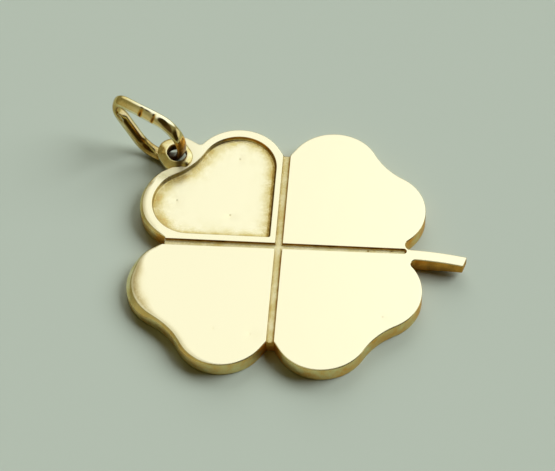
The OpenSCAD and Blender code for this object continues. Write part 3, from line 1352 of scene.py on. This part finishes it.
    @staticmethod
    def _fill_back(xy: Array, ring: list[int]) -> list[Face]:
        """Fills the back inside its last ring.

        Args:
            xy: points of the ring in plan.
            ring: their numbers in the mesh.

        Returns:
            Triangles that face down.
        """
        edges = [(i, (i + 1) % len(xy)) for i in range(len(xy))]
        result = delaunay_2d_cdt([Vector(p) for p in xy], edges, [], 0, BACK_MERGE_GAP, True)
        found = np.array([tuple(v) for v in result[0]])
        source = [ids[0] if ids else -1 for ids in result[3]]
        tris = []
        for f in result[2]:
            a, b, c = (found[i] for i in f)
            if any(source[i] < 0 for i in f) or not inside(((a + b + c) / 3)[None], xy)[0]:
                continue
            area = (b[0] - a[0]) * (c[1] - a[1]) - (b[1] - a[1]) * (c[0] - a[0])
            corners = [ring[source[i]] for i in f]
            tris.append(tuple(corners[::-1] if area > 0 else corners))
        return tris


@dataclass
class HangingEye:
    """Oblong lug with a crowned face and an off-centre hole, in millimetres."""

    plan: CloverPlan
    hole_r: float = 0.644
    hole_long: float = 0.2
    hole_shift: float = 0.12
    top: float = 1.45
    bottom: float = 0.79
    crown_drop: float = 0.16
    crown_steps: tuple[float, ...] = (0.0, 0.12, 0.25, 0.4, 0.55, 0.7, 0.82, 0.91, 0.97, 1.0)
    even_share: float = 0.8
    slope_drop: float = 0.2
    slope_toward: float = -125.0
    slope_facing: Span = (0.0, 0.6)
    hole_round: float = 0.08
    foot_round: float = 0.1
    quarter: int = 28
    age: float = 0.48
    # Painted shade: the hole's wall is darkened, and so is the foot under the eye.
    hole_shade: float = 1.8
    side_age: float = 0.6
    foot_shade: float = 0.9
    matte: float = 0.12
    dull: float = 0.2

    @property
    def hole_mid(self) -> Array:
        """Middle of the hole."""
        return self.plan.eye_mid + [self.hole_shift, 0]

    def build(self) -> MeshData:
        """Builds the lug.

        Returns:
            The mesh, as rings round the hole.
        """
        plan = self.plan
        half = np.linspace(-90, 90, 2 * self.quarter + 1)
        turns = np.radians(np.r_[half, half + 180] + plan.eye_long_turn)
        end = np.repeat([1, -1], len(half))[:, None] * polar(ORIGIN, 1, plan.eye_long_turn)
        spoke = np.c_[np.cos(turns), np.sin(turns)]
        inner = self.hole_mid + end * (self.hole_long / 2) + spoke * self.hole_r
        outer = plan.eye_mid + end * (plan.eye_long / 2) + spoke * plan.eye_r
        wall = np.linalg.norm(outer - inner, axis=1)
        cone = smooth_step(spoke @ polar(ORIGIN, 1, self.slope_toward), *self.slope_facing)
        rows = self._section(wall, cone)
        grid = np.stack([
            np.c_[inner + (outer - inner) * share[:, None], z + np.zeros(len(turns))]
            for share, z, _ in rows
        ])
        faces, normals = looped(grid, grid.mean(0), 2)
        age = np.repeat([age for _, _, age in rows], len(turns))
        state = worn_state(age, np.zeros(len(age)), self.matte, self.dull)
        return MeshData(grid.reshape(-1, 3), normals.reshape(-1, 3), state, faces)

    def _section(
        self, wall: Array, cone: Array
    ) -> list[tuple[Array, Array | float, float]]:
        """Makes the section from the hole's foot over the crown to the outer foot.

        Args:
            wall: width of the metal beside the hole, at each spoke.
            cone: how much the crown slopes evenly instead of bulging, at each spoke.

        Returns:
            Rows of share of the way out and height at each spoke, and age.
        """
        foot, lip = self.foot_round, self.hole_round
        # The hole's rows and the outer foot's rows carry painted shade.
        rows = [
            (foot * (1 - s) / wall, self.bottom + foot * (1 - c), self.hole_shade)
            for c, s in cos_sin(0, 30, 60, 90)
        ]
        rows.append((np.zeros(len(wall)), self.top - 2 * lip, self.hole_shade))
        for c, s in cos_sin(0, 30, 60):
            rows.append((lip * (1 - c) / wall, self.top - lip * (1 - s), self.hole_shade * (1 - s)))
        start = lip / wall
        for t in self.crown_steps:
            bulge = 1 - math.sqrt(1 - t * t)
            even = self.even_share * t + (1 - self.even_share) * bulge
            fall = (self.crown_drop + self.slope_drop * cone) * (bulge + cone * (even - bulge))
            rows.append((start + (1 - start) * t, self.top - fall, self.age))
        rows.append((np.ones(len(wall)), self.bottom + foot, self.side_age))
        for c, s in cos_sin(30, 60, 90):
            rows.append((1 - foot * (1 - c) / wall, self.bottom + foot * (1 - s), self.foot_shade))
        return rows


@dataclass(frozen=True)
class Dent:
    """Shallow plain dent on the ring's upper strand, in millimetres from the narrow bend."""

    at: float
    reach: float
    depth: float
    age: float


@dataclass
class JumpRing:
    """Closed ring of flattened wire, drawn to a drop shape, that hangs in the eye.

    The pairs in twist, grime and film give a value at distances along the wire. The grime is
    tarnish next to the eye, and painted shade where the wire runs inside the eye; the film is a
    dirt film, laid on thickest as painted shade where the wire comes out under the eye's left side.
    """

    eye: HangingEye
    wire_t: float = 0.47
    wire_w: float = 0.97
    fullness: float = 0.9
    wide_r: float = 2.06
    narrow_r: float = 0.81
    bend_gap: float = 2.95
    inset: float = 0.11
    turn: float = 154.0
    slope: float = 30.4
    lift: float = 0.01
    eye_mid_z: float = 1.125
    twist: Knots = (
        (0.0, 36.0), (1.2, 38.0), (2.5, 18.0), (3.6, 15.0), (5.0, 0.0), (8.4, 0.0),
        (10.0, -20.0), (12.8, -20.0), (13.9, 14.0), (14.9, 34.0),
    )
    pinch: float = 0.003
    # Tarnish next to the eye; from about 6.6 to 8 it is painted shade, where the wire runs inside
    # the eye.
    grime_and_shade: Knots = (
        (0.0, 0.4), (1.2, 0.15), (2.6, 0.1), (3.9, 0.12), (4.8, 0.7), (5.5, 1.6), (6.6, 2.0),
        (8.0, 2.0), (9.0, 0.2), (10.0, 0.12), (13.2, 0.12), (14.1, 0.65), (14.9, 0.65), (15.4, 0.4),
    )
    # Dirt film on the wire; its thick stretch from about 8.6 to 9.8, where the wire comes out under
    # the eye's left side, is painted shade.
    film: Knots = (
        (0.0, 0.08), (1.0, 0.0), (3.4, 0.0), (4.3, 0.25), (5.2, 0.1), (8.6, 1.15), (9.8, 1.1),
        (11.2, 0.42), (13.2, 0.3), (14.4, 0.45), (15.4, 0.1),
    )
    matte: float = 0.1
    dull: float = 0.15
    sides: int = 48
    step: float = 0.08
    dent_turn: float = -35.0
    dent_spread: float = 50.0
    dents: tuple[Dent, ...] = (
        Dent(1.38, 0.13, 0.03, 2.3),
        Dent(1.9, 0.36, 0.03, 0.25),
        Dent(2.42, 0.1, 0.03, 2.3),
    )

    def path(self) -> Array:
        """Draws the closed middle line in the ring's own plane.

        Returns:
            The points, with the middle of the wide bend at the origin.
        """
        lean = math.degrees(math.asin((self.wide_r - self.narrow_r) / self.bend_gap))
        wide = arc(ORIGIN, self.wide_r, 90 - lean, 270 + lean, self.step)
        narrow = arc([self.bend_gap, 0], self.narrow_r, -90 + lean, 90 - lean, self.step)
        low = straight(wide[-1], narrow[0], self.step)
        high = straight(narrow[-1], wide[0], self.step)
        return np.vstack([wide[:-1], low[:-1], narrow[:-1], high[:-1]])

    def place(self) -> Matrix:
        """Leans the ring on the eye and on the surface.

        Returns:
            The place of the ring's own plane in the frame, in millimetres.
        """
        mid_z = self.wide_r + self.wire_t / 2 + self.lift
        lean = math.asin((mid_z - self.eye_mid_z) / self.wide_r)
        mid = polar(self.eye.hole_mid, self.wide_r * math.cos(lean) - self.inset, self.turn)
        place = Matrix.Translation((mid[0], mid[1], mid_z))
        for turn, axis in ((self.turn, "Z"), (-self.slope, "Y"), (90, "X")):
            place @= Matrix.Rotation(math.radians(turn), 4, axis)
        return place

    def section(self) -> tuple[Array, Array]:
        """Draws the flattened wire's section.

        Returns:
            The turns round it in degrees, and its points, thickness first.
        """
        turns = np.linspace(-180, 180, self.sides, endpoint=False)
        circle = np.c_[np.cos(np.radians(turns)), np.sin(np.radians(turns))]
        shape = np.sign(circle) * np.abs(circle) ** self.fullness
        return turns, shape * np.array([self.wire_t, self.wire_w]) / 2

    def build(self) -> MeshData:
        """Builds the wire, slightly twisted and dented.

        Returns:
            The mesh, as rings of points along the wire.
        """
        path = self.path()
        count, n = len(path), self.sides
        along = np.roll(path, -1, axis=0) - np.roll(path, 1, axis=0)
        along /= np.linalg.norm(along, axis=1)[:, None]
        out = np.c_[along[:, 1], -along[:, 0], np.zeros(count)]
        wide = np.broadcast_to([0.0, 0.0, 1.0], out.shape)
        gap = np.linalg.norm(np.roll(path, -1, axis=0) - path, axis=1)
        strand = math.sqrt(self.bend_gap**2 - (self.wide_r - self.narrow_r) ** 2)
        at = (strand + np.r_[0, np.cumsum(gap)[:-1]]) % gap.sum()
        turn = np.interp(at, *np.array(self.twist).T, period=gap.sum())
        c, s = np.cos(np.radians(turn))[:, None], np.sin(np.radians(turn))[:, None]
        thick_way, wide_way = out * c - wide * s, wide * c + out * s
        turns, shape = self.section()
        thick = np.broadcast_to(shape[:, 0], (count, n)).copy()
        across = (1 - self.pinch * np.abs(turn))[:, None] * shape[:, 1]
        age = np.repeat(np.interp(at, *np.array(self.grime_and_shade).T)[:, None], n, axis=1)
        for dent in self.dents:
            near = np.exp(-(((at - dent.at) / dent.reach) ** 2))
            upper = np.exp(-(((turns - self.dent_turn) / self.dent_spread) ** 2))
            thick -= dent.depth * (near[:, None] * upper)
            age = np.maximum(age, dent.age * (near[:, None] * upper))
        grid = np.c_[path, np.zeros(count)][:, None] + thick[:, :, None] * thick_way[:, None]
        grid = grid + across[:, :, None] * wide_way[:, None]
        faces, normals = looped(grid, grid.mean(1, keepdims=True), 1)
        place = np.array(self.place())
        points = grid.reshape(-1, 3) @ place[:3, :3].T + place[:3, 3]
        soil = np.repeat(np.interp(at, *np.array(self.film).T), n)
        state = worn_state(age.ravel(), soil, self.matte, self.dull)
        return MeshData(points, normals.reshape(-1, 3) @ place[:3, :3].T, state, faces)


class NodePen:
    """Short way to place nodes in a tree and to link them."""

    pitch: Span = (180.0, -220.0)
    per_row: int = 9

    def __init__(self, tree: bpy.types.NodeTree) -> None:
        """Keeps the tree that the nodes go into."""
        self.tree = tree

    def add(self, kind: str, feeds: dict | None = None, **settings: object) -> bpy.types.Node:
        """Places a node.

        Args:
            kind: the node's type.
            feeds: socket name or number to the socket that feeds it, or to its constant.
            **settings: attributes of the node.

        Returns:
            The new node.
        """
        node = self.tree.nodes.new(kind)
        row, column = divmod(len(self.tree.nodes), self.per_row)
        node.location = (self.pitch[0] * column, self.pitch[1] * row)
        for name, value in settings.items():
            setattr(node, name, value)
        for key, source in (feeds or {}).items():
            if isinstance(source, Socket):
                self.tree.links.new(source, node.inputs[key])
            else:
                node.inputs[key].default_value = source
        return node

    def math(self, operation: str, *terms: Socket | float) -> Socket:
        """Places a Math node and returns its result."""
        return self.add("ShaderNodeMath", dict(enumerate(terms)), operation=operation).outputs[0]

    def clamp(self, value: Socket) -> Socket:
        """Places a Clamp node and returns its result, from 0 to 1."""
        return self.add("ShaderNodeClamp", {0: value}).outputs[0]

    def noise(self, place: Socket, scale: float, detail: float) -> Socket:
        """Places a Noise node and returns its value."""
        feeds = {"Vector": place, "Scale": scale, "Detail": detail}
        return self.add("ShaderNodeTexNoise", feeds).outputs["Fac"]

    def layer(self, name: str) -> Socket:
        """Places an Attribute node for a layer of the mesh and returns its value."""
        return self.add("ShaderNodeAttribute", attribute_name=name).outputs["Fac"]

    def mix(
        self, share: Socket | float, low: Socket | Rgba, high: Socket | Rgba, blend: str = "MIX"
    ) -> Socket:
        """Places a Mix node for colours and returns its result."""
        feeds = {0: share, 6: low, 7: high}
        return self.add("ShaderNodeMix", feeds, data_type="RGBA", blend_type=blend).outputs[2]


def node_group(
    name: str, floats: tuple[str, ...], colors: tuple[str, ...], outputs: dict[str, str]
) -> bpy.types.NodeTree:
    """Makes a node group without nodes.

    Args:
        name: its name.
        floats: names of its inputs for numbers.
        colors: names of its inputs for colours.
        outputs: names of its outputs, with the type of each.

    Returns:
        The group with its sockets.
    """
    group = bpy.data.node_groups.new(name, "ShaderNodeTree")
    sockets = [(label, "INPUT", "NodeSocketFloat") for label in floats]
    sockets += [(label, "INPUT", "NodeSocketColor") for label in colors]
    sockets += [(label, "OUTPUT", kind) for label, kind in outputs.items()]
    for label, way, kind in sockets:
        group.interface.new_socket(name=label, in_out=way, socket_type=kind)
    return group


@dataclass(frozen=True)
class WornPolish:
    """Worn polish, with the scale and detail of its waves, grain, clouds and drawn streaks."""

    wave: Span = (420.0, 1.0)
    grain: Span = (9000.0, 3.0)
    cloud: Span = (900.0, 3.0)
    streak: Span = (1.0, 2.0)
    streak_scale: Rgb = (260.0, 260.0, 14000.0)
    flat_gain: float = 2.5
    flat_blend: float = 0.3

    def build(self) -> bpy.types.NodeTree:
        """Makes the group.

        Returns:
            A group that puts out a roughness and a height.
        """
        outputs = {"Roughness": "NodeSocketFloat", "Height": "NodeSocketFloat"}
        inputs = ("Smooth", "Spread", "Wave", "Grain", "Streak")
        group = node_group("worn_polish", inputs, (), outputs)
        pen = NodePen(group)
        given = pen.add("NodeGroupInput").outputs
        place = pen.add("ShaderNodeTexCoord").outputs["Object"]
        wave, grain, cloud = (pen.noise(place, *it) for it in (self.wave, self.grain, self.cloud))
        drawn = pen.add("ShaderNodeMapping", {"Scale": self.streak_scale, "Vector": place})
        streak = pen.noise(drawn.outputs[0], *self.streak)
        normal = pen.add("ShaderNodeNewGeometry").outputs["Normal"]
        up = pen.add("ShaderNodeSeparateXYZ", {0: normal}).outputs["Z"]
        flat = pen.math("MULTIPLY", pen.math("ABSOLUTE", up), self.flat_gain)
        wall = pen.math("SUBTRACT", 1.0, pen.math("SMOOTH_MIN", flat, 1.0, self.flat_blend))
        height = pen.math("MULTIPLY", wave, given["Wave"])
        height = pen.math("MULTIPLY_ADD", grain, given["Grain"], height)
        streak = pen.math("MULTIPLY", streak, wall)
        height = pen.math("MULTIPLY_ADD", streak, given["Streak"], height)
        rough = pen.math("MULTIPLY_ADD", cloud, given["Spread"], given["Smooth"])
        pen.add("NodeGroupOutput", {"Roughness": rough, "Height": height})
        return group


@dataclass(frozen=True)
class Tarnish:
    """Tarnish under a film of dirt, with the scale and detail of its clouds and fine grain; its
    tones also give the painted shade that the age and soil carry.
    """

    cloud: Span = (1300.0, 4.0)
    fine: Span = (11000.0, 2.0)
    cloud_share: float = 1.1
    onset: float = 3.0
    steps: tuple[tuple[str, float, float], ...] = (
        ("Worn", 0.0, 0.5), ("Aged", 0.5, 0.5), ("Deep", 1.0, 1.0),
    )
    film_fine: float = 1.6
    film_cloud: float = 1.2

    def build(self) -> bpy.types.NodeTree:
        """Makes the group.

        Returns:
            A group that puts out the metal's colour.
        """
        colors = ("Clean", "Worn", "Aged", "Deep", "Film")
        inputs = ("Age", "Speckle", "Soil")
        group = node_group("tarnish", inputs, colors, {"Color": "NodeSocketColor"})
        pen = NodePen(group)
        given = pen.add("NodeGroupInput").outputs
        place = pen.add("ShaderNodeTexCoord").outputs["Object"]
        cloud = pen.math("SUBTRACT", pen.noise(place, *self.cloud), NOISE_MID)
        fine = pen.math("SUBTRACT", pen.noise(place, *self.fine), NOISE_MID)
        loose = pen.math("MULTIPLY_ADD", cloud, self.cloud_share, given["Age"])
        loose = pen.math("MULTIPLY_ADD", fine, given["Speckle"], loose)
        onset = pen.math("MINIMUM", pen.math("MULTIPLY", given["Age"], self.onset), 1.0)
        amount = pen.math("MULTIPLY", loose, onset)
        color = given["Clean"]
        for tone, start, reach in self.steps:
            share = pen.math("DIVIDE", pen.math("SUBTRACT", amount, start), reach)
            color = pen.mix(pen.clamp(share), color, given[tone])
        patchy = pen.math("MULTIPLY_ADD", fine, self.film_fine, 1.0)
        patchy = pen.math("MULTIPLY_ADD", cloud, self.film_cloud, patchy)
        thick = pen.math("MULTIPLY", given["Soil"], patchy)
        film = pen.add("ShaderNodeGamma", {0: given["Film"], 1: thick}).outputs[0]
        pen.add("NodeGroupOutput", {"Color": pen.mix(1.0, color, film, "MULTIPLY")})
        return group


@dataclass(frozen=True)
class GoldFinish:
    """Polished 14 karat gold with tarnish, and painted shade, where the age of the surface says."""

    name: str
    clean: Rgba = (0.97, 0.90, 0.60, 1.0)
    worn: Rgba = (0.80, 0.69, 0.31, 1.0)
    # The worn, aged, deep and film tones also serve as painted shade.
    aged: Rgba = (0.80, 0.42, 0.07, 1.0)
    deep: Rgba = (0.09, 0.04, 0.01, 1.0)
    film: Rgba = (0.5, 0.4, 0.22, 1.0)
    speckle: float = 0.55
    smooth: float = 0.08
    spread: float = 0.08
    wave: float = 0.5
    grain: float = 0.06
    streak: float = 0.5
    relief: float = 0.000012
    specular: float = 0.2

    def build(self, polish: bpy.types.NodeTree, tarnish: bpy.types.NodeTree) -> bpy.types.Material:
        """Makes the material.

        Args:
            polish: group for the worn polish.
            tarnish: group for the tarnish.

        Returns:
            The new material.
        """
        material = bpy.data.materials.new(self.name)
        material.use_nodes = True
        material.node_tree.nodes.clear()
        pen = NodePen(material.node_tree)
        names = ("Smooth", "Spread", "Wave", "Grain", "Streak")
        feeds = {name: getattr(self, name.lower()) for name in names}
        shine = pen.add("ShaderNodeGroup", feeds, node_tree=polish).outputs
        names = ("Clean", "Worn", "Aged", "Deep", "Film", "Speckle")
        feeds = {name: getattr(self, name.lower()) for name in names}
        feeds |= {"Age": pen.layer("age"), "Soil": pen.layer("soil")}
        metal = pen.add("ShaderNodeGroup", feeds, node_tree=tarnish).outputs
        feeds = {"Strength": 1.0, "Distance": self.relief, "Height": shine["Height"]}
        bump = pen.add("ShaderNodeBump", feeds).outputs[0]
        feeds = {
            "Base Color": metal["Color"],
            "Metallic": pen.math("SUBTRACT", 1.0, pen.layer("dull")),
            "Roughness": pen.math("ADD", pen.layer("matte"), shine["Roughness"]),
            "Specular IOR Level": self.specular,
            "Normal": bump,
        }
        gold = pen.add("ShaderNodeBsdfPrincipled", feeds).outputs[0]
        pen.add("ShaderNodeOutputMaterial", {"Surface": gold})
        return material


@dataclass(frozen=True)
class Glow:
    """Part of the surroundings: direction, full and faded reach round it in degrees, colour."""

    toward: Rgb
    full: float
    faded: float
    color: Rgb


@dataclass(frozen=True)
class Lamp:
    """Wide far lamp: where it stands, how wide it looks in degrees, and its power."""

    toward: Rgb
    spread: float
    power: float


@dataclass(frozen=True)
class Studio:
    """Pale floor, soft light and the camera at the photograph's angle, in metres."""

    floor_half: float = 1.5
    floor_z: float = -0.00001
    floor_color: Rgba = (0.53, 0.60, 0.51, 1.0)
    floor_rough: float = 0.9
    floor_specular: float = 0.1
    dim: Rgb = (0.25, 0.225, 0.11)
    shade: Rgb = (0.05, 0.04, 0.02)
    fill: Rgb = (0.34, 0.30, 0.18)
    glows: tuple[Glow, ...] = (
        Glow((0.85, -0.45, 0.1), 22, 36, (0.03, 0.018, 0.003)),
        Glow((0.35, -0.45, 0.82), 16, 30, (0.06, 0.035, 0.01)),
        Glow((-0.75, -0.55, 0.3), 18, 42, (0.42, 0.37, 0.2)),
        Glow((-0.02, 0.60, 0.80), 19, 44, (1.02, 1.05, 1.07)),
        Glow((0.5, 0.55, 0.67), 22, 36, (1.2, 1.28, 1.32)),
        Glow((1.0, 0.1, 0.05), 10, 22, (0.95, 0.95, 0.9)),
        Glow((0.14, -0.12, 0.98), 16, 24, (0.03, 0.018, 0.003)),
    )
    lamps: tuple[Lamp, ...] = (
        Lamp((0.72, 0.30, 0.62), 42, 2.65),
        Lamp((0.0, 0.86, 0.5), 50, 1.35),
    )
    lamp_color: Rgb = (0.94, 0.975, 1.02)
    camera_at: Rgb = (0.009435, -0.087165, 0.12303)
    camera_right: Rgb = (0.9969, 0.0753, -0.0240)
    camera_up: Rgb = (-0.0469, 0.8080, 0.5874)
    lens: float = 140.63
    sensor: float = 36.0
    sight: Span = (0.005, 10.0)

    def build(self) -> None:
        """Makes the floor, the light and the camera."""
        self._floor()
        self._surroundings()
        self._lamps()
        self._camera()

    def _floor(self) -> None:
        """Makes the plain floor just under the pendant."""
        h = self.floor_half
        mesh = bpy.data.meshes.new("pale_floor")
        mesh.from_pydata([(-h, -h, 0), (h, -h, 0), (h, h, 0), (-h, h, 0)], [], [(0, 1, 2, 3)])
        floor = bpy.data.objects.new("pale_floor", mesh)
        floor.location.z = self.floor_z
        bpy.context.scene.collection.objects.link(floor)
        material = bpy.data.materials.new("pale_floor")
        material.use_nodes = True
        shader = material.node_tree.nodes["Principled BSDF"]
        for name, value in (
            ("Base Color", self.floor_color),
            ("Roughness", self.floor_rough),
            ("Specular IOR Level", self.floor_specular),
        ):
            shader.inputs[name].default_value = value
        mesh.materials.append(material)

    def _surroundings(self) -> None:
        """Makes the surroundings: a dim base with bright and dark glows laid over it."""
        world = bpy.data.worlds.new("soft_studio")
        bpy.context.scene.world = world
        world.use_nodes = True
        world.node_tree.nodes.clear()
        pen = NodePen(world.node_tree)
        way = pen.add("ShaderNodeTexCoord").outputs["Generated"]
        diffuse = pen.add("ShaderNodeLightPath").outputs["Is Diffuse Ray"]
        color = pen.mix(diffuse, (*self.dim, 1.0), (*self.shade, 1.0))
        for glow in self.glows:
            feeds = {0: way, 1: Vector(glow.toward).normalized()}
            near = pen.add("ShaderNodeVectorMath", feeds, operation="DOT_PRODUCT").outputs["Value"]
            (low, _), (high, _) = cos_sin(glow.faded, glow.full)
            feeds = {"Value": near, "From Min": low, "From Max": high}
            share = pen.add("ShaderNodeMapRange", feeds, interpolation_type="SMOOTHSTEP")
            color = pen.mix(share.outputs[0], color, (*glow.color, 1.0))
        color = pen.mix(diffuse, color, (*self.fill, 1.0), "MULTIPLY")
        light = pen.add("ShaderNodeBackground", {"Strength": 1.0, "Color": color})
        pen.add("ShaderNodeOutputWorld", {"Surface": light.outputs[0]})
        bpy.context.scene.view_settings.view_transform = "Standard"

    def _lamps(self) -> None:
        """Makes the wide lamps that give the soft shadows; the metal doesn't mirror them."""
        for lamp in self.lamps:
            data = bpy.data.lights.new("soft_lamp", "SUN")
            data.energy = lamp.power
            data.color = self.lamp_color
            data.angle = math.radians(lamp.spread)
            light = bpy.data.objects.new("soft_lamp", data)
            light.rotation_euler = Vector(lamp.toward).to_track_quat("Z", "Y").to_euler()
            light.visible_glossy = False
            bpy.context.scene.collection.objects.link(light)

    def _camera(self) -> None:
        """Makes the camera."""
        data = bpy.data.cameras.new("camera")
        data.sensor_width = self.sensor
        data.lens = self.lens
        data.clip_start, data.clip_end = self.sight
        camera = bpy.data.objects.new("camera", data)
        right, up = Vector(self.camera_right).normalized(), Vector(self.camera_up)
        back = right.cross(up).normalized()
        turn = Matrix((right, back.cross(right), back)).transposed()
        camera.matrix_world = Matrix.Translation(self.camera_at) @ turn.to_4x4()
        bpy.context.scene.collection.objects.link(camera)
        bpy.context.scene.camera = camera


def dress(data: MeshData, name: str, node: str, material: bpy.types.Material) -> None:
    """Makes a piece of the data and fixes it to the frame.

    Args:
        data: mesh of the piece.
        name: its name.
        node: CAD node that it stands for.
        material: its finish.
    """
    piece = data.to_object(name, material)
    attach(piece, "root")
    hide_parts(node)
    LOG.info("%s: %d points, %d faces", name, len(data.points), len(data.faces))


def main() -> None:
    """Builds the pieces in order, then the studio."""
    logging.basicConfig(level=logging.INFO, format="%(name)s: %(message)s")
    plan = CloverPlan()
    eye = HangingEye(plan)
    polish, tarnish = WornPolish().build(), Tarnish().build()
    plate_gold = GoldFinish("plate_gold").build(polish, tarnish)
    eye_gold = GoldFinish("eye_gold", smooth=0.14).build(polish, tarnish)
    ring_gold = GoldFinish("ring_gold", smooth=0.03, spread=0.06).build(polish, tarnish)
    dress(CloverPlate(plan).build(), "clover_leaves", "clover_plate", plate_gold)
    dress(eye.build(), "hanging_eye", "clover_plate", eye_gold)
    dress(JumpRing(eye).build(), "wire_ring", "jump_ring", ring_gold)
    Studio().build()


if __name__ == "__main__":
    main()
